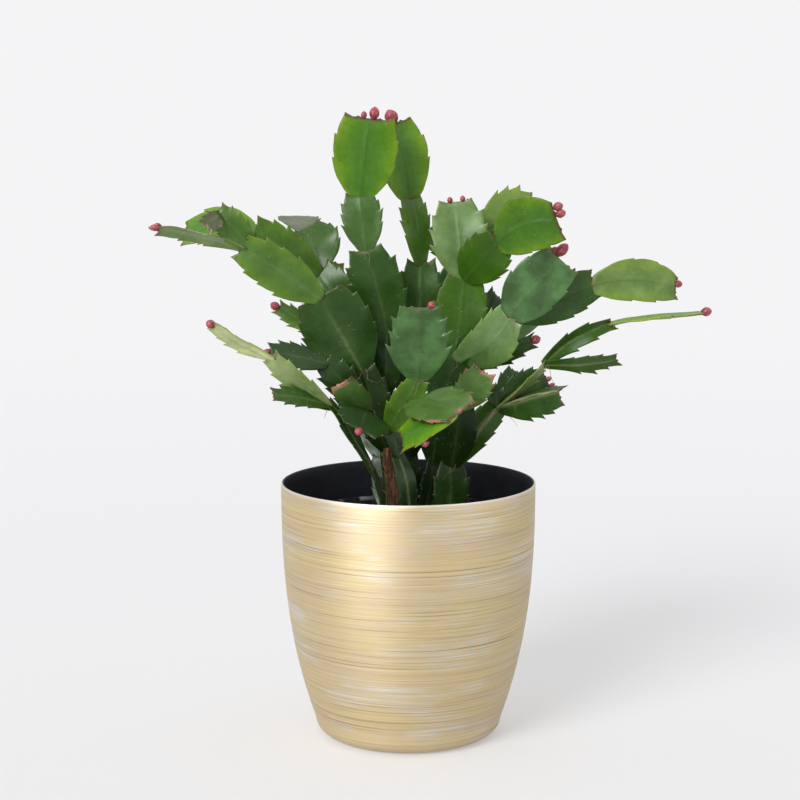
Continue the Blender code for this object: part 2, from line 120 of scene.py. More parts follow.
def times(product, *values):
    """Multiply two or more values."""
    for value in values:
        product = maths("MULTIPLY", product, value)
    return product


def levels(value, low, high, out_low=0.0, out_high=1.0):
    """Stretch the part of a value between low and high over a new range, and clamp it."""
    inputs = {"Value": value, "From Min": low, "From Max": high,
              "To Min": out_low, "To Max": out_high}
    return add_node(value.id_data, "MapRange", inputs).outputs[0]


def blended(share, low, high, how="MIX"):
    """Mix two colours by a share."""
    return add_node(tree_of(share, low, high), "Mix", {0: share, 6: low, 7: high},
                    data_type="RGBA", blend_type=how).outputs[2]


def speckle(where, scale, detail=2.0):
    inputs = {"Vector": where, "Scale": scale, "Detail": detail}
    return add_node(where.id_data, "TexNoise", inputs).outputs[0]


def streaks(where, scale, turn=(0, 0, 0), detail=3.0):
    """Noise that is drawn out apart along each axis, and turned by some degrees."""
    inputs = {"Vector": where, "Scale": scale,
              "Rotation": tuple(math.radians(degrees) for degrees in turn)}
    return speckle(add_node(where.id_data, "Mapping", inputs).outputs[0], 1.0, detail)


def object_place(tree):
    return add_node(tree, "TexCoord").outputs["Object"]


def make_gold_lacquer():
    """Brushed gold whose streaks wander a little as they run round the pot."""
    material, tree, shader = new_finish("brushed_gold_lacquer")
    place = object_place(tree)
    wander = streaks(place, (6, 6, 5), detail=1.0)
    x, y, height = add_node(tree, "SeparateXYZ", {0: place}).outputs
    bent_height = maths("ADD", height, times(maths("SUBTRACT", wander, 0.5), STREAK_DRIFT))
    along = add_node(tree, "CombineXYZ", {0: x, 1: y, 2: bent_height}).outputs[0]
    broad = streaks(along, BROAD_STREAKS, (0.6, 0.2, 0))
    fine = streaks(along, FINE_STREAKS, (-0.5, 0.4, 0))
    hair = streaks(along, HAIR_STREAKS, (0.9, -0.7, 0), 2.0)
    patch = streaks(place, WORN_PATCHES)
    hue = streaks(place, HUE_PATCHES, detail=4.0)
    pale = blended(levels(hue, 0.38, 0.62), GOLD_PINK, GOLD_PALE)
    gold = blended(levels(broad, 0.15, 0.78), GOLD_DEEP, pale)
    gold = blended(FINE_SHARE, gold, blended(levels(fine, 0.20, 0.72), GOLD_DEEP, pale))
    worn = times(levels(hair, 0.52, 0.60), levels(patch, 0.50, 0.64))
    lip = levels(height, POT_HEIGHT - 1.5 * MM, POT_HEIGHT - 0.6 * MM)
    worn = maths("MAXIMUM", worn, times(lip, 0.6))
    gold = blended(worn, gold, SILVER_WORN)
    scored = levels(streaks(along, SCORED_STREAKS, (0.3, 0.9, 0), 2.0), 0.39, 0.31)
    scored = times(scored, maths("SUBTRACT", 0.75, lip))
    bump = add_node(tree, "Bump", {"Height": maths("ADD", fine, hair),
                                   "Strength": 0.30, "Distance": 0.12 * MM})
    fill(shader, {"Base Color": blended(scored, gold, GREY_SCORED), "Metallic": 0.62,
                  "Roughness": levels(fine, 0.3, 0.7, 0.48, 0.40), "Anisotropic": 0.5,
                  "Anisotropic Rotation": 0.25, "Coat Weight": 0.15, "Coat Roughness": 0.3,
                  "Normal": bump.outputs[0]})
    return material


def make_mottle():
    """The group that several finishes take their uneven tone and fine bumps from."""
    tree = bpy.data.node_groups.new("uneven_surface", "ShaderNodeTree")
    for name, value in (("Scale", 300.0), ("Bump", 0.3), ("Depth", 0.0002)):
        socket = tree.interface.new_socket(name, in_out="INPUT", socket_type="NodeSocketFloat")
        socket.default_value = value
    tree.interface.new_socket("Tone", in_out="OUTPUT", socket_type="NodeSocketFloat")
    tree.interface.new_socket("Normal", in_out="OUTPUT", socket_type="NodeSocketVector")
    entry = tree.nodes.new("NodeGroupInput")
    leave = tree.nodes.new("NodeGroupOutput")
    place = object_place(tree)
    tone = speckle(place, entry.outputs["Scale"], 4.0)
    finer = speckle(place, times(entry.outputs["Scale"], 5.0), 2.0)
    height = maths("ADD", tone, times(finer, 0.5))
    bump = add_node(tree, "Bump", {"Height": height, "Strength": entry.outputs["Bump"],
                                   "Distance": entry.outputs["Depth"]})
    fill(leave, {"Tone": tone, "Normal": bump.outputs[0]})
    return tree


MOTTLE = make_mottle()


def uneven(shader, scale, bump, depth):
    """Add the uneven surface group to a finish, and return its tone."""
    inputs = {"Scale": scale, "Bump": bump, "Depth": depth}
    group = add_node(shader.id_data, "Group", inputs, node_tree=MOTTLE)
    join(shader.inputs["Normal"], group.outputs["Normal"])
    return group.outputs["Tone"]


def make_mottled(name, scale, bump, depth, span, dark, light, rough):
    """A finish that is mottled between two colours, with bumps to match."""
    material, _, shader = new_finish(name)
    tone = uneven(shader, scale, bump, depth)
    fill(shader, {"Base Color": blended(levels(tone, *span), dark, light), "Roughness": rough})
    return material


def make_black_inside():
    """Bare black plastic, a little worn where the mottle is pale."""
    material, _, shader = new_finish("bare_black_inside")
    tone = uneven(shader, 500.0, 0.25, 0.1 * MM)
    fill(shader, {"Base Color": blended(levels(tone, 0.35, 0.7), BLACK_BLUE, BLACK_WORN),
                  "Roughness": levels(tone, 0.3, 0.7, 0.42, 0.57)})
    return material


def new_piece(name, bm, materials, sharp=None):
    """Make a finished bmesh an object, smooth but for edges sharper than some degrees."""
    mesh = bpy.data.meshes.new(name)
    bm.to_mesh(mesh)
    bm.free()
    for material in materials:
        mesh.materials.append(material)
    mesh.shade_smooth()
    if sharp is not None:
        mesh.set_sharp_from_angle(angle=math.radians(sharp))
    piece = bpy.data.objects.new(name, mesh)
    bpy.context.scene.collection.objects.link(piece)
    return piece


def turned(profile, steps):
    """Spin a profile, given as radius and height, once round the pot's axis."""
    bm = bmesh.new()
    verts = [bm.verts.new((radius, 0, height)) for radius, height in profile]
    edges = [bm.edges.new(pair) for pair in zip(verts, verts[1:])]
    bmesh.ops.spin(bm, geom=verts + edges, axis=(0, 0, 1), cent=(0, 0, 0),
                   angle=math.tau, steps=steps, use_merge=True)
    bmesh.ops.remove_doubles(bm, verts=bm.verts[:], dist=0.01 * MM)
    bmesh.ops.recalc_face_normals(bm, faces=bm.faces[:])
    return bm


def pot_radius(height):
    return POT_RIM_R - POT_TAPER * (1 - height / POT_HEIGHT) ** POT_TAPER_POWER


def pot_profile():
    """From the middle of the floor inside, over the lip, to the middle underneath."""
    top = POT_HEIGHT - POT_LIP_R
    corner_r = pot_radius(POT_FOOT_RISE)
    heights = [POT_FOOT_RISE + (top - POT_FOOT_RISE) * i / POT_WALL_ROWS
               for i in range(POT_WALL_ROWS + 1)]
    profile = [(0, POT_FLOOR), (POT_FOOT_R, POT_FLOOR)]
    profile += [(pot_radius(height) - POT_WALL, height) for height in heights[1:]]
    lip_middle = pot_radius(top) - POT_LIP_R
    for i in range(1, POT_LIP_ROWS):
        turn = math.pi * (1 - i / POT_LIP_ROWS)
        profile.append((lip_middle + POT_LIP_R * math.cos(turn), top + POT_LIP_R * math.sin(turn)))
    profile += [(pot_radius(height), height) for height in reversed(heights)]
    for i in range(1, POT_CORNER_ROWS + 1):
        turn = 0.5 * math.pi * (1 - i / POT_CORNER_ROWS)
        profile.append((POT_FOOT_R + (corner_r - POT_FOOT_R) * math.sin(turn),
                        POT_FOOT_RISE * (1 - math.cos(turn))))
    return profile + [(0, 0)]


pot_mesh = turned(pot_profile(), POT_STEPS)
for face in pot_mesh.faces:
    middle = face.calc_center_median()
    outward = face.normal.dot(Vector((middle.x, middle.y, 0)).normalized())
    under = middle.z < 0.5 * POT_FLOOR
    face.material_index = 0 if outward > 0.2 or under else 1
cover_pot = new_piece("cover_pot_gold", pot_mesh, [make_gold_lacquer(), make_black_inside()], 50)
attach(cover_pot, "root")
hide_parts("cover_pot")

# --------------------------------------
# Nursery pot. The grower's thin black pot, pressed from plastic sheet with a rolled rim,
# which stands loose inside the cover pot. Its shape is right as it is: it gets a finish.
LINER_RIM = 122.0 * MM
LINER_DARK = (0.012, 0.013, 0.016)
LINER_LIGHT = (0.035, 0.037, 0.043)
# Painted highlight: the pale colour of the glint painted on the rim.
LINER_GLINT_PAINT = (0.32, 0.34, 0.37)


def make_liner():
    """Black pressed plastic, with a pale glint painted in patches along the top of its rim."""
    material, tree, shader = new_finish("black_pressed_plastic")
    tone = uneven(shader, 500.0, 0.25, 0.1 * MM)
    colour = blended(levels(tone, 0.35, 0.7), LINER_DARK, LINER_LIGHT)
    height = add_node(tree, "SeparateXYZ", {0: object_place(tree)}).outputs[2]
    # Painted highlight: pale patches near the top of the rim stand in for light glinting on it.
    painted_glint = levels(speckle(object_place(tree), 130.0, 4.0), 0.45, 0.58)
    edge = levels(height, LINER_RIM - 2.2 * MM, LINER_RIM - 0.8 * MM)
    fill(shader, {"Base Color": blended(times(painted_glint, edge), colour, LINER_GLINT_PAINT),
                  "Roughness": levels(tone, 0.3, 0.7, 0.13, 0.28)})
    return material


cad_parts["nursery_pot"].material_slots[0].material = make_liner()

# --------------------------------------
# Soil. Moist peat with bits of bark and white perlite, filled into the nursery pot to just
# under its rim. The stems grow out of it.
SOIL_LOW = POT_FLOOR + 2.0 * MM
SOIL_TOP = 117.0 * MM
SOIL_MOUND = 1.5 * MM
SOIL_EDGE_R = 56.2 * MM
SOIL_FOOT_R = 39.9 * MM
SOIL_RINGS = 56
SOIL_STEPS = 160
SOIL_LUMP = 1.5 * MM
SOIL_RIM_DIP = 1.2 * MM
SOIL_RIM_WIDE = 6 * MM
CRUMBS = 900
PERLITE_BITS = 70
BARK_CHIPS = 60


def soil_height(x, y):
    """The lumpy top of the soil above a point."""
    radius = math.hypot(x, y)
    edge = min(1.0, max(0.0, (SOIL_EDGE_R - radius) / SOIL_RIM_WIDE))
    mound = SOIL_MOUND * (1 - (radius / SOIL_EDGE_R) ** 2)
    lumps = noise.noise(Vector((x, y, 0)) * 160) + 0.5 * noise.noise(Vector((x, y, 0.02)) * 420)
    return SOIL_TOP + mound - SOIL_RIM_DIP * (1 - edge) + SOIL_LUMP * edge * lumps


soil_profile = [(SOIL_EDGE_R * i / SOIL_RINGS, SOIL_TOP) for i in range(SOIL_RINGS + 1)]
soil_profile += [(SOIL_FOOT_R, SOIL_LOW), (0, SOIL_LOW)]
soil_mesh = turned(soil_profile, SOIL_STEPS)
for vert in soil_mesh.verts:
    if vert.co.z > SOIL_TOP - 0.1 * MM:
        vert.co.z = soil_height(vert.co.x, vert.co.y)
moist_peat = make_mottled("moist_peat", 420.0, 0.9, 0.8 * MM, (0.35, 0.68),
                          (0.012, 0.007, 0.004), (0.095, 0.046, 0.024), 0.88)
white_perlite = make_mottled("white_perlite", 900.0, 0.6, 0.4 * MM, (0.3, 0.6),
                             (0.42, 0.38, 0.32), (0.80, 0.78, 0.74), 0.9)
bark = make_mottled("bark_chips", 350.0, 0.8, 0.5 * MM, (0.3, 0.7),
                    (0.05, 0.022, 0.010), (0.22, 0.10, 0.045), 0.8)
soil_piece = new_piece("soil_peat", soil_mesh, [moist_peat], 60)
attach(soil_piece, "root")
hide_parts("soil")


def scattered(name, count, smallest, largest, flatness, material, seed):
    """Bits strewn over the soil, each an uneven lump that lies half sunk in it."""
    draw = random.Random(seed)
    noise.seed_set(seed)  # Without a seed of its own, noise_vector changes from run to run.
    bm = bmesh.new()
    for _ in range(count):
        radius = (SOIL_EDGE_R - 4 * MM) * math.sqrt(draw.random())
        turn = draw.uniform(0, math.tau)
        x = radius * math.cos(turn)
        y = radius * math.sin(turn)
        size = draw.uniform(smallest, largest)
        shape = Matrix.Diagonal((size, size * draw.uniform(0.5, 1.0),
                                 size * draw.uniform(0.6, 1.0) * flatness, 1.0))
        lean = Matrix.Rotation(draw.uniform(-0.5, 0.5), 4, "X")
        spin = Matrix.Rotation(draw.uniform(0, math.tau), 4, "Z")
        place = Matrix.Translation((x, y, soil_height(x, y) + 0.15 * size))
        lump = bmesh.ops.create_icosphere(bm, subdivisions=1, radius=1.0,
                                          matrix=place @ spin @ lean @ shape)
        for vert in lump["verts"]:
            vert.co += 0.25 * size * noise.noise_vector(vert.co * 900)
    piece = new_piece(name, bm, [material], 45)
    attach(piece, "root")


scattered("soil_crumbs", CRUMBS, 0.5 * MM, 1.6 * MM, 0.8, moist_peat, 11)
scattered("soil_perlite", PERLITE_BITS, 0.7 * MM, 1.9 * MM, 0.8, white_perlite, 12)
scattered("soil_bark", BARK_CHIPS, 1.5 * MM, 3.4 * MM, 0.35, bark, 13)

# --------------------------------------
# Trunk. The oldest stem: its foot has turned to brown cork, and the flat green segments
# that grow from each other's tips carry the large left side and the left crown. Flower
# buds sit on the tips of the last segments.
FOOT_DEPTH = 8.0 * MM
FOOT_R = 3.2 * MM
FOOT_RISE = 4.0 * MM
FOOT_SIDES = 28
FOOT_STEPS = 12
FOOT_KNOBS = 0.3
ROOT_R = 0.16 * MM
ROOT_STEP = 1.8
ROOT_SIDES = 6
ROOT_STEPS = 4
ROOT_KNOBS = 0.1
BUD_SIDES = 28
BUD_RINGS = 24
BUD_PETALS = 5
PAD_STALK = 2.3 * MM
PAD_SINK = 2.2 * MM
PAD_MID_THICK = 2.3 * MM
PAD_EDGE_THICK = 0.8 * MM
PAD_BRIM_THICK = 0.35 * MM
PAD_RIDGE = 0.45 * MM
PAD_RIDGE_HALF = 0.9 * MM
PAD_LEAD = 2.6 * MM
PAD_WAVE = 0.4 * MM
PAD_FALL_POWER = 2.4
CLAW_FIRST = 0.40
CLAW_START = 0.12
CLAW_NOTCH = 0.018
CLAW_SIZE = 1.25
CLAW_VARIES = 0.9
CLAW_POWER = 3.6
RIPPLE = 1.3 * MM
RIPPLE_SCALE = 58
MARGIN_SWELL = 0.8 * MM
WIDE_PAD = 20 * MM
APEX_TOOTH = 0.8 * MM
APEX_TOOTH_AT = 0.5
MARGIN_FROM = 0.75
BRIM_FROM = 0.9
TIP_THINS_FROM = 0.96
COLUMN_SHARES = (0, 0.05, 0.11, 0.2, 0.34, 0.5, 0.65, 0.77, 0.86, 0.925, 0.97, 1)
CLAW_SHARES = (0.3, 0.5, 0.66, 0.78, 0.87, 0.94, 1.0)
BASE_ROWS = (0.0, 0.03, 0.07, 0.12)

FRONT = (0, -1, 0)
BACK = (0, 1, 0)
UP = (0, 0, 1)

Form = namedtuple("Form", "widest shoulder apex claws reach hook horn")
YOUNG = Form(0.52, 0.52, 0.72, 2, 1.2, 0.9, 1.6)
OLD = Form(0.52, 0.66, 0.56, 3, 1.5, 1.1, 1.8)
CLAWED = Form(0.50, 0.60, 0.50, 3, 2.4, 1.4, 1.6)
SLIM = Form(0.50, 0.90, 0.50, 2, 1.2, 1.0, 1.4)
BROAD = Form(0.50, 0.60, 0.60, 3, 1.4, 1.0, 0.4)
SCALLOPED = Form(0.42, 0.60, 0.60, 3, 3.0, 2.6, 0.3)
PALE = Form(0.46, 0.50, 0.48, 2, 0.8, 0.6, 1.6)
ROUND = Form(0.46, 0.46, 0.66, 2, 1.1, 0.8, 1.0)

# How a segment's skin looks: its youth, its waxy bloom with a painted sheen, how pale it is, and
# its red edge.
Look = namedtuple("Look", "youth bloom pale blush")
DEEP = Look(0.05, 0.10, 0.0, 0.15)
LEAF = Look(0.38, 0.08, 0.0, 0.35)
FRESH = Look(0.62, 0.10, 0.05, 0.35)
BRIGHT = Look(0.95, 0.00, 0.0, 0.80)
# The looks with much bloom give a waxy bloom and a painted sheen of light on it.
DUSTY_SHEEN = Look(0.22, 0.85, 0.0, 0.25)
MISTY_SHEEN = Look(0.45, 1.00, 0.1, 0.25)
PALER = Look(0.88, 0.00, 0.22, 0.60)
FADED = Look(0.48, 0.35, 0.22, 0.50)
DEWY = Look(0.40, 0.28, 0.03, 0.30)
SHADE = Look(0.0, 0.0, 0.0, 0.1)
MOSSY = Look(0.22, 0.12, 0.0, 0.3)
YELLOWY = Look(0.66, 0.00, 0.0, 0.80)
SUNNY = Look(0.95, 0.05, 0.30, 0.50)
GLOSSY = Look(0.50, 0.00, 0.0, 0.50)
SILVERY_SHEEN = Look(0.55, 0.90, 0.12, 0.40)
LIMY = Look(1.00, 0.00, 0.03, 0.80)
SOFT = Look(0.62, 0.40, 0.38, 0.40)
CREAM = Look(0.80, 0.10, 1.0, 0.40)
SCARRED = Look(0.46, 0.30, 0.06, 0.95)
MAUVE = Look(0.25, 0.20, 0.08, 1.00)

GREEN_DEEP = (0.012, 0.040, 0.004)
GREEN_LEAF = (0.034, 0.102, 0.003)
GREEN_HEART = (0.070, 0.215, 0.012)
GREEN_BRIGHT = (0.135, 0.310, 0.004)
# The bloom's grey-green is partly the wax itself and partly a painted sheen of light on it.
GREEN_BLOOM_SHEEN = (0.092, 0.222, 0.060)
GREEN_PALE = (0.650, 0.700, 0.330)
EDGE_GOLD = (0.220, 0.350, 0.012)
EDGE_RED = (0.135, 0.028, 0.026)
FLUSH_MAUVE = (0.130, 0.095, 0.070)
SPOT_PALE = (0.360, 0.400, 0.280)
RIB_GREEN = (0.230, 0.340, 0.120)
RIB_CORK = (0.380, 0.330, 0.210)
SCAR_RED = (0.330, 0.090, 0.055)
SCAR_BUFF = (0.420, 0.230, 0.130)
CALLUS_BROWN = (0.150, 0.095, 0.040)
NICK_SCALE = (330, 330, 900)
NICK_TURN = [math.radians(degrees) for degrees in (20, 38, 12)]
BUD_DEEP = (0.25, 0.022, 0.038)
BUD_PINK = (0.42, 0.070, 0.100)
BUD_PALE = (0.60, 0.29, 0.23)
BUD_FOOT = (0.13, 0.050, 0.018)
CORK_DARK = (0.030, 0.016, 0.009)
CORK_BROWN = (0.170, 0.075, 0.030)
CORK_RUST = (0.42, 0.18, 0.07)


def make_skin():
    """The waxy green skin: each segment's own look and its map from midrib to margin."""
    material, tree, shader = new_finish("cactus_skin")
    place = object_place(tree)
    look = add_node(tree, "Attribute", attribute_name="look")
    youth, bloom_sheen, pale = add_node(tree, "SeparateColor", {0: look.outputs["Color"]}).outputs
    blush = look.outputs["Alpha"]
    rib = add_node(tree, "Attribute", attribute_name="rib").outputs["Fac"]
    chart = add_node(tree, "UVMap", uv_map="pad").outputs[0]
    sideways, along, _ = add_node(tree, "SeparateXYZ", {0: chart}).outputs
    across = maths("ABSOLUTE", maths("SUBTRACT", times(sideways, 2.0), 1.0))
    cloud = speckle(place, 90.0, 3.0)
    blotch = speckle(place, 330.0, 3.0)
    pores = speckle(place, 1500.0, 2.0)

    # Green by age, then the waxy bloom with a painted sheen, the pale of a new segment, and an
    # uneven tone.
    old = blended(levels(youth, 0.0, 0.45), GREEN_DEEP, GREEN_LEAF)
    young = blended(levels(across, 0.25, 0.95), GREEN_HEART, GREEN_BRIGHT)
    colour = blended(levels(youth, 0.4, 1.0), old, young)
    # Painted sheen: the grey-green bloom colour also stands in for light glossing on the wax.
    colour = blended(times(bloom_sheen, levels(cloud, 0.36, 0.62, 0.35, 1.0)), colour, GREEN_BLOOM_SHEEN)
    colour = blended(times(pale, levels(cloud, 0.3, 0.7, 0.6, 1.0)), colour, GREEN_PALE)
    tone = maths("ADD", levels(cloud, 0.3, 0.7, 0.88, 1.10), levels(blotch, 0.3, 0.7, -0.09, 0.09))
    shade = add_node(tree, "CombineXYZ", {0: tone, 1: tone, 2: tone}).outputs[0]
    colour = blended(1.0, colour, shade, "MULTIPLY")

    # The midrib: pale on an old segment, dark on a young one, corky where it carries much.
    line = maths("ADD", levels(across, 0.10, 0.0, 0.0, 0.6),
                 levels(across, 0.40, 0.0, 0.0, 0.35))
    line = times(line, levels(along, 1.0, 0.5, 0.1, 1.0), levels(blotch, 0.3, 0.6, 0.5, 1.0))
    colour = blended(times(line, rib, levels(youth, 0.6, 0.9, 0.75, 0.1)), colour, RIB_GREEN)
    colour = blended(times(line, levels(youth, 0.55, 0.85, 0.0, 0.5)), colour, GREEN_LEAF)
    strands = streaks(chart, (60, 4, 1))
    corky = times(levels(across, 0.26, 0.08),
                  levels(strands, 0.44, 0.56, 0.0, 0.85), levels(rib, 0.7, 1.0))
    colour = blended(corky, colour, RIB_CORK)

    # The margin: a golden brim, a red edge, and a mauve flush over the whole of a few.
    brim = times(levels(across, 0.62, 1.0), levels(youth, 0.5, 0.95),
                 levels(cloud, 0.35, 0.6, 0.15, 0.85))
    colour = blended(brim, colour, EDGE_GOLD)
    edge = maths("MAXIMUM", levels(across, 0.955, 0.985), levels(along, 0.955, 0.985))
    edge = times(edge, levels(along, 0.25, 0.9, 0.35, 1.0), blush,
                 levels(blotch, 0.36, 0.52))
    colour = blended(edge, colour, EDGE_RED)
    flush = times(levels(blush, 0.985, 1.0, 0.0, 0.5), levels(cloud, 0.35, 0.6, 0.3, 1.0))
    colour = blended(flush, colour, FLUSH_MAUVE)

    # Damage: dry scars on the margin, pale nicks, and the callus where a segment grew on.
    scar = maths("MAXIMUM", levels(across, 0.84, 0.94), levels(along, 0.92, 0.97))
    scar = times(scar, levels(blush, 0.82, 0.90), levels(cloud, 0.50, 0.56),
                 levels(along, 0.55, 0.75))
    colour = blended(scar, colour, blended(levels(blotch, 0.4, 0.6), SCAR_RED, SCAR_BUFF))
    turned_place = add_node(tree, "Mapping", {"Vector": place, "Scale": NICK_SCALE,
                                              "Rotation": NICK_TURN}).outputs[0]
    nicks = add_node(tree, "TexVoronoi", {"Vector": turned_place, "Scale": 1.0})
    nicked = times(levels(nicks.outputs["Distance"], 0.17, 0.09),
                   levels(speckle(place, 170.0), 0.53, 0.64, 0.0, 0.8))
    colour = blended(nicked, colour, SPOT_PALE)
    callus = times(levels(along, 0.045, 0.01), levels(blotch, 0.35, 0.55, 0.2, 0.9))
    colour = blended(callus, colour, CALLUS_BROWN)

    rough = maths("ADD", levels(blotch, 0.3, 0.7, 0.34, 0.46), times(bloom_sheen, 0.08))
    height = maths("ADD", times(cloud, 4.0), maths("ADD", blotch, times(pores, 0.35)))
    bump = add_node(tree, "Bump", {"Height": height, "Strength": 0.5, "Distance": 0.35 * MM})
    fill(shader, {"Base Color": colour, "Roughness": rough, "Specular IOR Level": 0.16,
                  "Coat Weight": levels(bloom_sheen, 0.0, 0.9, 0.36, 0.95), "Coat Roughness": 0.26,
                  "Subsurface Weight": 0.12, "Subsurface Radius": (0.4, 1.0, 0.15),
                  "Subsurface Scale": 1.2 * MM, "Normal": bump.outputs[0]})
    return material


def make_bud_skin():
    """The buds' waxy pink, deeper at the foot and paler where the petals' tips meet."""
    material, tree, shader = new_finish("bud_pink")
    chart = add_node(tree, "UVMap", uv_map="pad")
    rise = add_node(tree, "SeparateXYZ", {0: chart.outputs[0]}).outputs[1]
    tone = uneven(shader, 700.0, 0.4, 0.3 * MM)
    pink = blended(levels(rise, 0.25, 0.95), BUD_DEEP, BUD_PINK)
    pink = blended(levels(tone, 0.48, 0.7, 0.0, 0.5), pink, BUD_PALE)
    pink = blended(levels(rise, 0.26, 0.10), pink, BUD_FOOT)
    fill(shader, {"Base Color": pink, "Roughness": 0.42, "Subsurface Weight": 0.10,
                  "Subsurface Scale": 0.8 * MM})
    return material


def make_cork():
    """The dry brown cork of an old stem, split into long fibres."""
    material, tree, shader = new_finish("brown_cork")
    place = object_place(tree)
    fibres = streaks(place, (900, 900, 90))
    stripes = streaks(place, (700, 700, 45), detail=2.0)
    colour = blended(levels(fibres, 0.35, 0.65), CORK_DARK, CORK_BROWN)
    colour = blended(levels(stripes, 0.57, 0.66, 0.0, 0.8), colour, CORK_RUST)
    bump = add_node(tree, "Bump", {"Height": fibres, "Strength": 0.8, "Distance": 0.8 * MM})
    fill(shader, {"Base Color": colour, "Roughness": 0.8, "Normal": bump.outputs[0]})
    return material


cactus_skin = make_skin()
beige_wool = make_mottled("beige_wool", 900.0, 0.5, 0.2 * MM, (0.35, 0.65),
                          (0.20, 0.13, 0.07), (0.50, 0.40, 0.26), 0.85)
dry_root = make_mottled("dry_root", 900.0, 0.5, 0.2 * MM, (0.35, 0.65),
                        (0.16, 0.085, 0.040), (0.40, 0.27, 0.15), 0.85)
bud_pink = make_bud_skin()
brown_cork = make_cork()


def pour(bm, whole):
    """Turn a finished bmesh's faces outwards, and add it to a larger one."""
    bmesh.ops.recalc_face_normals(bm, faces=bm.faces[:])
    draft = bpy.data.meshes.new("draft")
    bm.to_mesh(draft)
    bm.free()
    whole.from_mesh(draft)
    bpy.data.meshes.remove(draft)


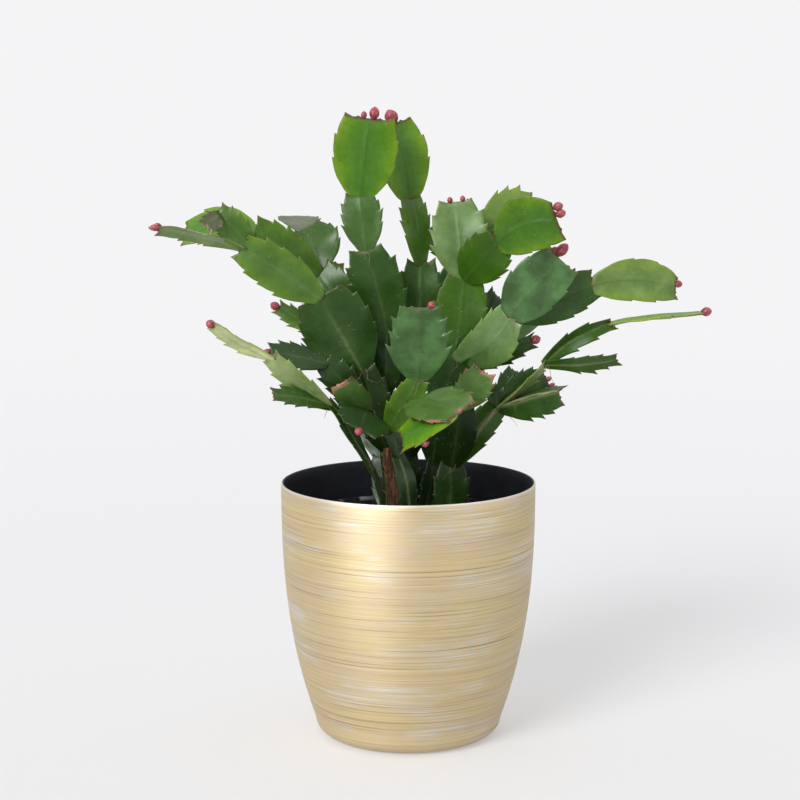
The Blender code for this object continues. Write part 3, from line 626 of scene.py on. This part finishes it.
class Pad:
    """One flat stem segment, bent and clawed as the solid is, with finer margins."""

    def __init__(self, base, tip, width, faces, turn, bow, bend, fold, twist, form, look, rib):
        self.base, self.tip, self.width = base, tip, width
        self.bow, self.bend, self.fold, self.twist = bow, bend, fold, math.radians(twist)
        self.form, self.look, self.rib = form, look, rib
        self.along = (tip - base).normalized()
        self.length = (tip - base).length
        ahead = Vector(faces)
        ahead = (ahead - ahead.dot(self.along) * self.along).normalized()
        across = self.along.cross(ahead)
        swing = math.radians(turn)
        self.normal = (math.cos(swing) * ahead + math.sin(swing) * across).normalized()
        self.across = self.along.cross(self.normal)

    def claw_places(self):
        step = (1 - CLAW_FIRST) / self.form.claws
        return [CLAW_FIRST + step * i for i in range(self.form.claws)] + [1.0]

    def nearest_claw(self, t):
        """The next claw up from t, and how far t is on the way to it from the notch below."""
        start = CLAW_START
        for i, place in enumerate(self.claw_places()):
            if t <= place:
                return i, max(0.0, (t - start) / (place - start))
            start = place
        return 0, 0.0

    def claw(self, t, u):
        """How far out a claw stands at t, from 0 in a notch to about 1 at its point."""
        i, share = self.nearest_claw(t)
        mark = Vector((900 * self.tip.x, 700 * self.tip.z, 3.3 * i + (9.1 if u > 0 else 0)))
        return (CLAW_SIZE + CLAW_VARIES * noise.noise(mark)) * share ** CLAW_POWER

    def swell(self, t):
        """The margin swells a little between one claw and the next."""
        return math.sin(math.pi * self.nearest_claw(t)[1])

    def half_width(self, t):
        form = self.form
        half = 0.5 * self.width
        if t < form.widest:
            rise = math.sin(0.5 * math.pi * t / form.widest) ** form.shoulder
            return PAD_STALK + (half - PAD_STALK) * rise
        fall = ((t - form.widest) / (1 - form.widest)) ** PAD_FALL_POWER
        return half * (1 - (1 - form.apex) * fall)

    def point(self, u, t, side):
        """A point of the pad: u across from -1 to 1, t along it, side -1 or 1 by face."""
        form = self.form
        claw = self.claw(t, u)
        edge = max(0.0, (abs(u) - MARGIN_FROM) / (1 - MARGIN_FROM))
        x = u * self.half_width(t) + math.copysign(form.reach * MM * claw * edge, u)
        swell = MARGIN_SWELL * min(1.0, self.width / WIDE_PAD) * self.swell(t)
        x += math.copysign(swell * edge, u)
        hook = form.hook if t < 1 else form.horn
        y = PAD_LEAD * math.sin(math.pi * t) * u * u + hook * MM * claw * edge
        if t == 1 and abs(u) == APEX_TOOTH_AT:
            y += APEX_TOOTH
        hump = 4 * t * (1 - t)
        swing = self.twist * (t - 0.5)
        across = math.cos(swing) * self.across + math.sin(swing) * self.normal
        normal = math.cos(swing) * self.normal - math.sin(swing) * self.across
        bulge = self.bow * normal + self.bend * across
        run = (self.length * self.along + 4 * (1 - 2 * t) * bulge).normalized()
        face = across.cross(run).normalized()
        middle = self.base + t * self.length * self.along + hump * bulge
        lift = self.fold * 2 * abs(x) / self.width
        lift += PAD_WAVE * math.sin(11 * t + 2 * u) * u * u
        place = middle + x * across
        lift += RIPPLE * noise.noise(RIPPLE_SCALE * place) * min(1.0, 4 * t, 8 * (1 - t) + 0.3)
        thick = PAD_EDGE_THICK + (PAD_MID_THICK - PAD_EDGE_THICK) * (1 - abs(u))
        brim = max(0.0, (abs(u) - BRIM_FROM) / (1 - BRIM_FROM))
        thick -= (PAD_EDGE_THICK - PAD_BRIM_THICK) * brim ** 2
        thick *= 1 - 0.5 * max(0.0, (t - TIP_THINS_FROM) / (1 - TIP_THINS_FROM))
        ridge = PAD_RIDGE * math.exp(-(x / PAD_RIDGE_HALF) ** 2) * min(1.0, 4 * (1 - t))
        return place + y * run + (lift + side * (0.5 * thick + 0.5 * ridge)) * face

    def rows(self):
        rows = list(BASE_ROWS)
        start = CLAW_START
        for place in self.claw_places():
            rows += [start + share * (place - start) for share in CLAW_SHARES]
            if place < 1:
                rows.append(place + CLAW_NOTCH)
            start = place
        return rows

    def add_to(self, whole):
        """Press a fine grid to the pad's shape, front and back, and add it to a stem."""
        rows = self.rows()
        columns = [-share for share in reversed(COLUMN_SHARES[1:])] + list(COLUMN_SHARES)
        bm = bmesh.new()
        bmesh.ops.create_grid(bm, x_segments=len(columns) - 1, y_segments=len(rows) - 1, size=1.0)
        bmesh.ops.solidify(bm, geom=bm.faces[:], thickness=0.1)
        middle = 0.5 * (min(v.co.z for v in bm.verts) + max(v.co.z for v in bm.verts))
        look = bm.verts.layers.float_color.new("look")
        rib = bm.verts.layers.float.new("rib")
        chart = bm.loops.layers.uv.new("pad")
        ways = {}
        for vert in bm.verts:
            u = columns[round(0.5 * (vert.co.x + 1) * (len(columns) - 1))]
            t = rows[round(0.5 * (vert.co.y + 1) * (len(rows) - 1))]
            ways[vert] = (0.5 + 0.5 * u, t)
            vert[look] = self.look
            vert[rib] = self.rib
            vert.co = self.point(u, t, 1 if vert.co.z > middle else -1)
        for face in bm.faces:
            for loop in face.loops:
                loop[chart].uv = ways[loop.vert]
        pour(bm, whole)


def add_tuft(bm, centre, radius, draw):
    """A tiny ragged ball of wool."""
    ball = bmesh.ops.create_icosphere(bm, subdivisions=1, radius=1.0)
    for vert in ball["verts"]:
        vert.co = centre + radius * draw.uniform(0.6, 1.25) * vert.co


def smoothed_path(points, radii, steps):
    """More places along a path, on a smooth curve through the points given."""
    places = []
    last = len(points) - 1
    for i in range(last):
        before, start, end, after = (points[max(0, i - 1)], points[i], points[i + 1],
                                     points[min(last, i + 2)])
        for k in range(steps):
            s = k / steps
            place = 0.5 * (2 * start + (end - before) * s
                           + (2 * before - 5 * start + 4 * end - after) * s * s
                           + (3 * start - before - 3 * end + after) * s ** 3)
            places.append((place, radii[i] + (radii[i + 1] - radii[i]) * s))
    places.append((points[last], radii[last]))
    return places


def add_rod(bm, points, radii, sides, steps, knobs):
    """A round rod through some points, capped at both ends, with a knobbly skin."""
    places = smoothed_path(points, radii, steps)
    grid = bmesh.ops.create_grid(bm, x_segments=sides, y_segments=len(places) - 1, size=1.0)
    side_way = Vector((1, 0, 0))
    if abs((places[1][0] - places[0][0]).normalized().x) > 0.8:
        side_way = Vector((0, 1, 0))
    rings = []
    for i, (place, radius) in enumerate(places):
        ahead = places[min(i + 1, len(places) - 1)][0] - places[max(i - 1, 0)][0]
        ahead.normalize()
        side_way = (side_way - side_way.dot(ahead) * ahead).normalized()
        rings.append((place, radius, side_way, ahead.cross(side_way)))
    for vert in grid["verts"]:
        turn = math.pi * (vert.co.x + 1)
        place, radius, first, second = rings[round(0.5 * (vert.co.y + 1) * (len(places) - 1))]
        out = math.cos(turn) * first + math.sin(turn) * second
        lump = 1 + knobs * noise.noise((place + radius * out) * 500)
        vert.co = place + radius * lump * out
    bmesh.ops.remove_doubles(bm, verts=grid["verts"], dist=0.01 * MM)
    rims = [edge for edge in bm.edges if edge.is_boundary]
    bmesh.ops.holes_fill(bm, edges=rims, sides=sides)
    bmesh.ops.recalc_face_normals(bm, faces=bm.faces[:])


class Stem:
    """A rooted stem: its corky foot, its green pads and its buds, each a piece."""

    def __init__(self, name, root, foot=(), foot_radius=FOOT_R, faces=FRONT):
        self.name = name
        self.faces = faces
        self.draw = random.Random(name)
        self.wool_draw = random.Random(name + "_wool")
        points = [Vector((*root, 0)) * MM + Vector((0, 0, SOIL_TOP - FOOT_DEPTH)),
                  Vector((*root, 0)) * MM + Vector((0, 0, SOIL_TOP + FOOT_RISE))]
        radii = [foot_radius, foot_radius]
        for x, y, z, radius in foot:
            points.append(Vector((x, y, z)) * MM)
            radii.append(radius * MM)
        self.foot_top = points[-1] - Vector((0, 0, PAD_SINK))
        self.foot, self.green, self.pink, self.wool, self.hair = (bmesh.new() for _ in range(5))
        add_rod(self.foot, points, radii, FOOT_SIDES, FOOT_STEPS, FOOT_KNOBS)
        self.pads = {}

    def pad(self, name, parent, tip, width, look=LEAF, faces=None, turn=0, form=OLD, base=None,
            bow=1.5, bend=0, fold=1.0, twist=0, rib=0.3):
        """Grow a pad from its parent's tip; lengths in mm, turns in degrees."""
        if base is not None:
            start = Vector(base) * MM
        elif parent is None:
            start = self.foot_top
        else:
            start = self.pads[parent].tip - PAD_SINK * self.pads[parent].along
        own = Look(*(min(1.0, value * self.draw.uniform(0.88, 1.12)) for value in look[:3]),
                   look.blush)
        new = Pad(start, Vector(tip) * MM, width * MM, faces or self.faces, turn, bow * MM,
                  bend * MM, fold * MM, twist, form, own, rib)
        self.pads[name] = new
        new.add_to(self.green)
        for t in new.claw_places():
            for u in (-1, 1):
                notch = 0.5 * (new.point(u, t + CLAW_NOTCH, -1) + new.point(u, t + CLAW_NOTCH, 1))
                add_tuft(self.wool, notch, self.wool_draw.uniform(0.25, 0.5) * MM, self.wool_draw)

    def roots(self, *places):
        """Thin aerial roots that curl down, each by its pad, place on it, and length in mm."""
        for parent, t, u, length in places:
            pad = self.pads[parent]
            draw = random.Random(parent + str(length))
            place = pad.point(u, t, 1)
            way = pad.normal + Vector((0, 0, -0.6))
            points = [place - 0.4 * MM * pad.normal]
            for _ in range(round(length / ROOT_STEP)):
                way += Vector([draw.uniform(-0.7, 0.7) for _ in range(3)]) + Vector((0, 0, -0.25))
                way.normalize()
                place = place + ROOT_STEP * MM * way
                points.append(place)
            radii = [ROOT_R * (1 - 0.6 * i / len(points)) for i in range(len(points))]
            add_rod(self.hair, points, radii, ROOT_SIDES, ROOT_STEPS, ROOT_KNOBS)

    def bud(self, parent, beside, radius, length, sink=1.0, turn=0):
        """A flower bud on a pad's apex, so many mm to the right of the middle."""
        pad = self.pads[parent]
        lean = math.radians(turn)
        up = math.cos(lean) * pad.along + math.sin(lean) * pad.across
        axes = Matrix((pad.normal.cross(up), pad.normal, up)).transposed().to_4x4()
        centre = pad.tip + beside * MM * pad.across + (0.5 * length - sink) * MM * up
        bm = bmesh.new()
        bmesh.ops.create_uvsphere(bm, u_segments=BUD_SIDES, v_segments=BUD_RINGS, radius=1.0)
        chart = bm.loops.layers.uv.new("pad")
        for face in bm.faces:
            for loop in face.loops:
                loop[chart].uv = (0.5, 0.5 + 0.5 * loop.vert.co.z)
        for vert in bm.verts:
            z = vert.co.z
            turn_here = math.atan2(vert.co.y, vert.co.x)
            ribs = abs(math.sin(0.5 * BUD_PETALS * turn_here))
            twisted = abs(math.sin(0.5 * BUD_PETALS * turn_here + 1.2 * z))
            petals = 1 - 0.12 * twisted * max(0.0, z + 0.2)
            scales = 0.07 * ((2.4 * z + 0.5 * ribs) % 1.0)
            belly = 1.02 + 0.14 * z - 0.22 * z * z - (scales if z < 0.4 else 0)
            round_here = radius * MM * petals * belly
            tall_here = 0.5 * length * MM * (1 + 0.03 * math.cos(BUD_PETALS * turn_here))
            vert.co = Vector((vert.co.x * round_here, vert.co.y * round_here, z * tall_here))
        bmesh.ops.transform(bm, matrix=Matrix.Translation(centre) @ axes, verts=bm.verts[:])
        pour(bm, self.pink)

    def finish(self):
        """Make the stem's pieces, which stand for its solid."""
        kinds = (("foot", self.foot, brown_cork), ("pads", self.green, cactus_skin),
                 ("buds", self.pink, bud_pink), ("wool", self.wool, beige_wool),
                 ("roots", self.hair, dry_root))
        for kind, bm, material in kinds:
            if not bm.verts:
                bm.free()
                continue
            piece = new_piece(self.name + "_" + kind, bm, [material])
            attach(piece, "root")
            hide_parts(self.name)


trunk = Stem("stem_trunk", (-7, 0), foot_radius=3.8 * MM,
             foot=[(-8, -1, 136, 3.6), (-10, -2, 148, 3.5), (-12, -3, 161, 3.2)])
trunk.pad("knee", None, (-24, -10, 184), 13, SHADE, turn=20)
trunk.pad("knee_round", "knee", (-35.5, -27.5, 200), 16, SCARRED, form=ROUND, turn=-10, rib=0.1)
trunk.pad("knee_apron", "knee", (-26, -46, 177), 28, DEEP, faces=UP, turn=-28)
trunk.pad("knee_left", "knee", (-45, -16, 210), 16, DEEP, turn=10)
trunk.pad("shade_left", "knee_left", (-74, -26, 216), 13, DEEP, turn=30)
trunk.pad("inner_left", None, (-25, -10, 205), 20, SHADE)
trunk.pad("big_left", "inner_left", (-47, -25, 246), 37, MOSSY, fold=-1.5, form=BROAD, rib=0.7)
trunk.pad("shade_high", "big_left", (-70, -13, 238.5), 10, FRESH, base=(-43, -15, 221), turn=30)
trunk.pad("bright_left", "big_left", (-87, -33, 273), 22, FRESH, fold=2.5, turn=-10, bend=1,
          rib=0.6)
trunk.pad("far_left", "bright_left", (-130, -40, 283), 11, FADED, turn=-58, fold=2.0, bow=-2,
          form=YOUNG, rib=0.85)
trunk.pad("arch_left", "bright_left", (-100, -35, 291), 14, FRESH, base=(-82, -31, 271.5),
          turn=10, fold=2.5)
trunk.pad("arch_flap", "arch_left", (-105, -45, 284), 9, MAUVE, form=YOUNG)
trunk.pad("inner_mid", None, (-13, 2, 189), 14, SHADE)
trunk.pad("inner_high", "inner_mid", (-11, 0, 225), 15, SHADE)
trunk.pad("tall_left", "inner_high", (-23, -6, 270), 27, MOSSY, form=CLAWED, bend=1)
trunk.pad("neck_left", "tall_left", (-26.5, -2, 299), 20, DEWY, rib=0.1)
trunk.pad("crown_left", "neck_left", (-21, -4, 340), 33, BRIGHT, form=YOUNG, rib=0.0)
trunk.pad("behind_left", "inner_mid", (-31, 8, 231), 20, DEEP)
trunk.pad("high_left", "behind_left", (-50, 14, 256), 24, LEAF)
trunk.pad("back_left", "high_left", (-59, 32, 279), 30, LEAF, bend=2)
trunk.pad("back_left_tip", "back_left", (-65, 56, 284), 21, MAUVE, faces=UP, rib=0.0)
trunk.pad("behind_bright", "high_left", (-85, 4, 280), 22, FRESH)
trunk.pad("dome_left", "behind_bright", (-123, 14, 277), 22, LIMY, form=ROUND, turn=40, bow=2,
          bend=4, rib=0.0)
trunk.roots(("neck_left", 0.05, 0.1, 9), ("neck_left", 0.03, -0.1, 5),
            ("big_left", 0.04, 0.3, 12), ("big_left", 0.02, -0.2, 8),
            ("knee_apron", 0.05, 0.2, 10), ("high_left", 0.06, 0.1, 9))
trunk.bud("crown_left", -3, 1.7, 4.5)
trunk.bud("crown_left", 2.5, 2.8, 7.5)
trunk.bud("far_left", 2.6, 1.4, 4.0)
trunk.bud("far_left", 0.2, 1.5, 5.5)
trunk.bud("far_left", -1.8, 1.3, 6.5)
trunk.bud("shade_left", 0, 1.9, 4.5)
trunk.bud("shade_high", 0, 2.4, 6.0)
trunk.bud("knee_apron", 0, 2.2, 5.0)
trunk.finish()

# --------------------------------------
# Left stem. A low stem that leans out over the pot's left side, seen nearly edge on, with
# thin pale segments at its end.
left = Stem("stem_left", (-13.5, -10))
left.pad("foot", None, (-20, -12, 150), 9, DEEP, turn=72, form=SLIM)
left.pad("lean", "foot", (-43, -24, 188), 11, LEAF, turn=65, form=SLIM, rib=1.0)
left.pad("pale", "lean", (-72, -36, 215), 12.5, SOFT, turn=-20, fold=2.5, rib=0.85)
left.pad("outer", "pale", (-102, -42, 232), 14, CREAM, turn=-55)
left.pad("low", "lean", (-71, -44, 195.5), 10, LEAF, turn=50, rib=0.6)
left.pad("mid", "lean", (-66, -30, 201), 12, LEAF, turn=40, form=SLIM)
left.roots(("lean", 0.06, 0.3, 14), ("lean", 0.25, -0.2, 9), ("foot", 0.60, 0.3, 12),
           ("pale", 0.04, 0.2, 8))
left.bud("outer", 0, 2.4, 5.5)
left.bud("mid", 0, 1.5, 4.0)
left.finish()

# --------------------------------------
# Crown stem. The straight stem behind the trunk, which ends in the right crown segment
# with the largest bud.
crown = Stem("stem_crown", (-1, 23))
crown.pad("foot", None, (0, 24, 152), 14, SHADE, form=SLIM)
crown.pad("low", "foot", (0, 22, 182), 20, SHADE)
crown.pad("mid", "low", (7, 18, 225), 22, DEEP)
crown.pad("high", "mid", (7, 22, 261), 21, LEAF, rib=0.5)
crown.pad("neck_right", "high", (0.5, 20, 298), 17, FRESH, turn=35, rib=0.1)
crown.pad("crown_right", "neck_right", (-8.5, 15, 337.5), 28, LIMY, form=ROUND, turn=28, fold=3,
          rib=0.0)
crown.bud("crown_right", 1, 3.8, 9.0, turn=-15)
crown.finish()

# --------------------------------------
# Front stem. It carries the scalloped segment in the middle of the plant, and the two
# segments that hang forward over the pot.
front = Stem("stem_front", (2, -18))
front.pad("foot", None, (-6, -16, 158), 13, DEEP, turn=45, form=SLIM, rib=0.9)
front.pad("elbow", "foot", (-12, -14, 174), 10, DEEP, turn=45, form=SLIM)
front.pad("fan", "elbow", (6, -35, 203), 15, FRESH)
front.pad("scallop", "fan", (6, -46, 242), 28, DUSTY_SHEEN, form=SCALLOPED, rib=0.1)
front.pad("shelf", "fan", (27, -60, 188.5), 31, SCARRED, base=(1, -29, 190), turn=-63, rib=0.1)
front.pad("lime", "shelf", (-3, -56, 173), 27, BRIGHT, form=YOUNG, turn=68)
front.roots(("scallop", 0.04, 0.2, 11), ("scallop", 0.02, -0.3, 7), ("shelf", 0.05, 0.3, 9))
front.bud("scallop", 6, 2.0, 4.5)
front.bud("lime", -13.0, 1.9, 4.5, sink=14)
front.finish()

# --------------------------------------
# Back stem. The tall stem of the right side. Round segments hang in front of it, each
# turned to the light, and a row of small buds sits on their tips.
back = Stem("stem_back", (7, 11))
back.pad("foot", None, (14, 12, 151), 13, SHADE, turn=45, form=SLIM)
back.pad("low", "foot", (17, 8, 179), 16, SHADE)
back.pad("mid", "low", (26, 4, 210), 20, DEEP)
back.pad("tall", "mid", (31, 6, 254), 27, GLOSSY, rib=0.2)
back.pad("top", "tall", (26, 10, 295), 28, SILVERY_SHEEN, form=CLAWED, rib=0.15)
back.pad("top_behind", "tall", (14, 40, 280), 17, LEAF, base=(28, 10, 262))
back.pad("round", "tall", (49, -8, 275), 25, GLOSSY, rib=0.0)
back.pad("bright", "round", (79.5, -20, 286), 29, YELLOWY, form=ROUND, bend=-4, rib=0.0)
back.pad("bridge", "tall", (40, 18, 279), 20, LEAF)
back.pad("lime_behind", "bridge", (71, 32, 290), 28, SUNNY, form=CLAWED, bend=-2, rib=0.0)
back.pad("twisted", "mid", (56, -6, 234), 24, SILVERY_SHEEN, twist=30, bend=5, rib=0.1)
back.pad("wide", "twisted", (83, -10, 264), 28, DUSTY_SHEEN, form=ROUND, bend=-1.5, rib=0.15)
back.pad("fan", "twisted", (102, 10, 250), 23, LEAF)
back.pad("pale", "fan", (149, 22, 247), 22, PALER, form=PALE, bow=3, bend=-4)
back.pad("sliver", "mid", (49, 20, 243), 17, DEEP, turn=35)
back.pad("under", "mid", (68, 4, 219), 12, LEAF, turn=30, base=(26.5, 5, 204))
back.roots(("twisted", 0.04, 0.2, 8), ("wide", 0.05, 0.0, 6), ("tall", 0.04, 0.2, 7),
           ("fan", 0.06, 0.2, 9))
back.bud("top", -3, 1.6, 4.0)
back.bud("top", 4, 1.5, 4.0)
back.bud("bright", -7, 2.4, 6.0, sink=0.2)
back.bud("bright", -3, 2.4, 6.0, sink=0.2)
back.bud("wide", -7, 1.8, 4.5)
back.bud("wide", -4, 3.0, 9.0, sink=0.5)
back.bud("pale", -2, 2.1, 5.0)
back.bud("under", 0, 2.6, 6.0)
back.finish()

# --------------------------------------
# Right stem. A low stem that leans out over the pot's right side, with ribbed folded
# segments and one long thin arm that ends in a bud.
right = Stem("stem_right", (23, -6))
right.pad("foot", None, (24, -6, 152), 18, SHADE, form=SLIM)
right.pad("dark", "foot", (28, -20, 187), 20, SHADE)
right.pad("brown", "dark", (40, -27, 206), 17, SCARRED, rib=0.1)
right.pad("ridge", "foot", (50, -9, 185.5), 15, LEAF, fold=-3, bend=-1, rib=1.0)
right.pad("apron", "ridge", (80, -34, 196), 16, MOSSY, turn=-45, fold=-7, rib=1.0)
right.pad("behind", "ridge", (76, -8, 198), 22, DEEP)
right.pad("strut", "ridge", (74, -22, 211), 6, SOFT, turn=50, rib=1.0)
right.pad("small", "ridge", (47, -9, 196), 9, DEEP, form=SLIM)
right.pad("small_high", "ridge", (58, -8, 204), 12, DEEP, form=SLIM)
right.pad("arm", "strut", (108, -26, 232), 9.5, LEAF, turn=15, fold=3, bend=-4, form=SLIM, rib=0.8)
right.pad("arm_tip", "arm", (156, -30, 238), 13, PALER, turn=80, bow=-1)
right.pad("low_arm", "strut", (110, -36, 214), 10.5, LEAF, turn=40, rib=0.8)
right.roots(("strut", 0.10, 0.2, 14), ("strut", 0.30, -0.2, 10), ("arm", 0.04, 0.2, 12),
            ("apron", 0.06, 0.3, 11), ("low_arm", 0.05, 0.1, 8), ("dark", 0.10, 0.3, 13))
right.bud("arm_tip", 0, 2.5, 6.0)
right.bud("low_arm", 4.5, 1.8, 4.0, sink=9)
right.bud("behind", -1, 1.4, 4.0)
right.bud("behind", 3, 1.4, 4.0)
right.finish()

# --------------------------------------
# Rear stems. The plant is as bushy behind as in front: two more stems fill the back, their
# segments turned to the light there.
rear_left = Stem("stem_rear_left", (-13, 20), faces=BACK)
rear_left.pad("foot", None, (-16, 34, 150), 12, SHADE, form=SLIM)
rear_left.pad("low", "foot", (-20, 47, 180), 20, DEEP)
rear_left.pad("mid", "low", (-34, 58, 214), 26, LEAF)
rear_left.pad("high", "mid", (-30, 56, 245), 26, DUSTY_SHEEN, form=CLAWED)
rear_left.pad("out", "low", (-36, 80, 196), 22, LEAF)
rear_left.pad("out_tip", "out", (-52, 104, 190), 20, BRIGHT, faces=UP, turn=20, bow=4)
rear_left.pad("aside", "mid", (-58, 72, 232), 22, LEAF, turn=-25)
rear_left.pad("aside_tip", "aside", (-47, 86, 258), 22, BRIGHT, bow=3, form=YOUNG)
rear_left.roots(("high", 0.05, 0.1, 10), ("out", 0.05, -0.2, 8))
rear_left.bud("out_tip", 0, 2.2, 5.5)
rear_left.finish()

rear_right = Stem("stem_rear_right", (20, 18), faces=BACK)
rear_right.pad("foot", None, (24, 30, 150), 14, SHADE, form=SLIM)
rear_right.pad("low", "foot", (28, 46, 182), 20, DEEP)
rear_right.pad("mid", "low", (22, 56, 218), 26, LEAF, form=CLAWED)
rear_right.pad("high", "mid", (30, 60, 255), 25, DUSTY_SHEEN)
rear_right.pad("out", "low", (30, 82, 197), 22, LEAF)
rear_right.pad("out_tip", "out", (39, 106, 180), 20, BRIGHT, faces=UP, turn=-20, bow=4)
rear_right.pad("aside", "mid", (49, 78, 204), 18, LEAF, turn=25)
rear_right.pad("aside_tip", "aside", (80, 84, 238), 20, MISTY_SHEEN, bow=3, form=YOUNG)
rear_right.pad("crest", "high", (28, 58, 288), 24, BRIGHT, form=YOUNG)
rear_right.roots(("high", 0.05, 0.1, 9), ("aside", 0.05, -0.2, 11))
rear_right.bud("out_tip", 0, 1.9, 4.5)
rear_right.finish()

# --------------------------------------
# Studio. A wide pale paper floor in a pale room, soft light from the left front and from
# above, and a camera a little over pot height.
FLOOR_R = 12.0
FLOOR_TONE = (0.81, 0.81, 0.82)
ROOM_TONE = (0.985, 0.985, 1.0)
ROOM_LIGHT = 0.92
FADE_FROM = 0.5
FADE_TO = 2.2
FLOOR_GLOW = 0.35
FLOOR_DULL = 0.42
DIM_SIDE = 0.36
DIM_ABOVE = 0.6
KEY_WAY = (-0.60, -0.85, 0.68)
KEY_SPREAD = 28
KEY_POWER = 2.0
TOP_WAY = (0.15, 0.10, 1.0)
TOP_SPREAD = 60
TOP_POWER = 0.6
SOFT_BOX = (-0.58, -0.75, 0.42)
BOX_EDGE = 36
BOX_HEART = 22
BOX_POWER = 3.3
SIDE_FILL = (0.85, -0.50, 0.20)
FILL_EDGE = 50
FILL_HEART = 20
FILL_POWER = 0.9
GLOSS_NEAR = 0.20
GLOSS_FAR = 0.60
GLOSS_ABOVE = 0.5
LENS_MM = 82.5
LENS_SHIFT = -0.01036
FILM_MM = 36.0
CAMERA_AWAY = 1.0
CAMERA_HEIGHT = 0.32894
CAMERA_DOWN = 8.095


def make_paper():
    """Pale paper, lit a little from below, which fades into the pale room far away."""
    material, tree, shader = new_finish("pale_paper")
    tone = uneven(shader, 3.0, 0.02, 0.5 * MM)
    low = tuple(0.985 * value for value in FLOOR_TONE)
    fill(shader, {"Base Color": blended(tone, low, FLOOR_TONE), "Roughness": 0.9})
    distance = add_node(tree, "VectorMath", {0: object_place(tree)}, operation="LENGTH")
    far = levels(distance.outputs["Value"], FADE_FROM, FADE_TO, FLOOR_GLOW, 1.0)
    room = add_node(tree, "Emission", {"Color": ROOM_TONE, "Strength": ROOM_LIGHT})
    mixed = add_node(tree, "MixShader", {0: far, 1: shader.outputs[0], 2: room.outputs[0]})
    gleam = times(add_node(tree, "LightPath").outputs["Is Glossy Ray"], FLOOR_DULL)
    dull = add_node(tree, "Emission", {"Strength": 0.0})
    mixed = add_node(tree, "MixShader", {0: gleam, 1: mixed.outputs[0], 2: dull.outputs[0]})
    join(tree.nodes["Material Output"].inputs[0], mixed.outputs[0])
    return material


floor_mesh = bmesh.new()
bmesh.ops.create_circle(floor_mesh, cap_ends=True, radius=FLOOR_R, segments=96)
paper_floor = new_piece("paper_floor", floor_mesh, [make_paper()])


def soft_sun(name, direction, spread, power):
    """A wide soft light from one side; the direction points from the pot to the light."""
    lamp = bpy.data.lights.new(name, "SUN")
    lamp.energy = power
    lamp.angle = math.radians(spread)
    light = bpy.data.objects.new(name, lamp)
    light.rotation_euler = (-Vector(direction)).to_track_quat("-Z", "Y").to_euler()
    bpy.context.scene.collection.objects.link(light)


soft_sun("key_light", KEY_WAY, KEY_SPREAD, KEY_POWER)
soft_sun("top_light", TOP_WAY, TOP_SPREAD, TOP_POWER)


def soft_glow(way, toward, edge, heart, power):
    """A round soft light in the room, from its edge to its bright heart in degrees."""
    facing = add_node(way.id_data, "VectorMath", {0: way, 1: Vector(toward).normalized()},
                      operation="DOT_PRODUCT")
    return levels(facing.outputs["Value"], math.cos(math.radians(edge)),
                  math.cos(math.radians(heart)), 0.0, power)


# The room is even behind the pot, dimmer near the camera, and holds two soft lights that
# only gloss can see.
world = bpy.data.worlds.new("pale_room")
world.use_nodes = True
sky = world.node_tree
way = add_node(sky, "TexCoord").outputs["Generated"]
_, depth, height = add_node(sky, "SeparateXYZ", {0: way}).outputs
dim = times(levels(depth, -0.5, 0.4, DIM_SIDE, ROOM_LIGHT),
            levels(height, 0.25, 0.9, 1.0, DIM_ABOVE))
gleam = maths("ADD", soft_glow(way, SOFT_BOX, BOX_EDGE, BOX_HEART, BOX_POWER),
              soft_glow(way, SIDE_FILL, FILL_EDGE, FILL_HEART, FILL_POWER))
gleam = maths("ADD", gleam, levels(depth, -0.5, 0.5, GLOSS_NEAR, GLOSS_FAR))
gleam = maths("ADD", gleam, levels(height, 0.35, 0.8, 0.0, GLOSS_ABOVE))
path = add_node(sky, "LightPath")
seen = add_node(sky, "Mix", {0: path.outputs["Is Glossy Ray"], 2: dim, 3: gleam}).outputs[0]
seen = add_node(sky, "Mix", {0: path.outputs["Is Camera Ray"], 2: seen, 3: ROOM_LIGHT}).outputs[0]
fill(sky.nodes["Background"], {"Color": ROOM_TONE, "Strength": seen})
bpy.context.scene.world = world
bpy.context.scene.view_settings.view_transform = "Standard"

lens = bpy.data.cameras.new("camera")
lens.lens = LENS_MM
lens.sensor_width = FILM_MM
lens.shift_x = LENS_SHIFT
camera = bpy.data.objects.new("camera", lens)
camera.location = (0, -CAMERA_AWAY, CAMERA_HEIGHT)
camera.rotation_euler = (math.radians(90 - CAMERA_DOWN), 0, 0)
bpy.context.scene.collection.objects.link(camera)
bpy.context.scene.camera = camera
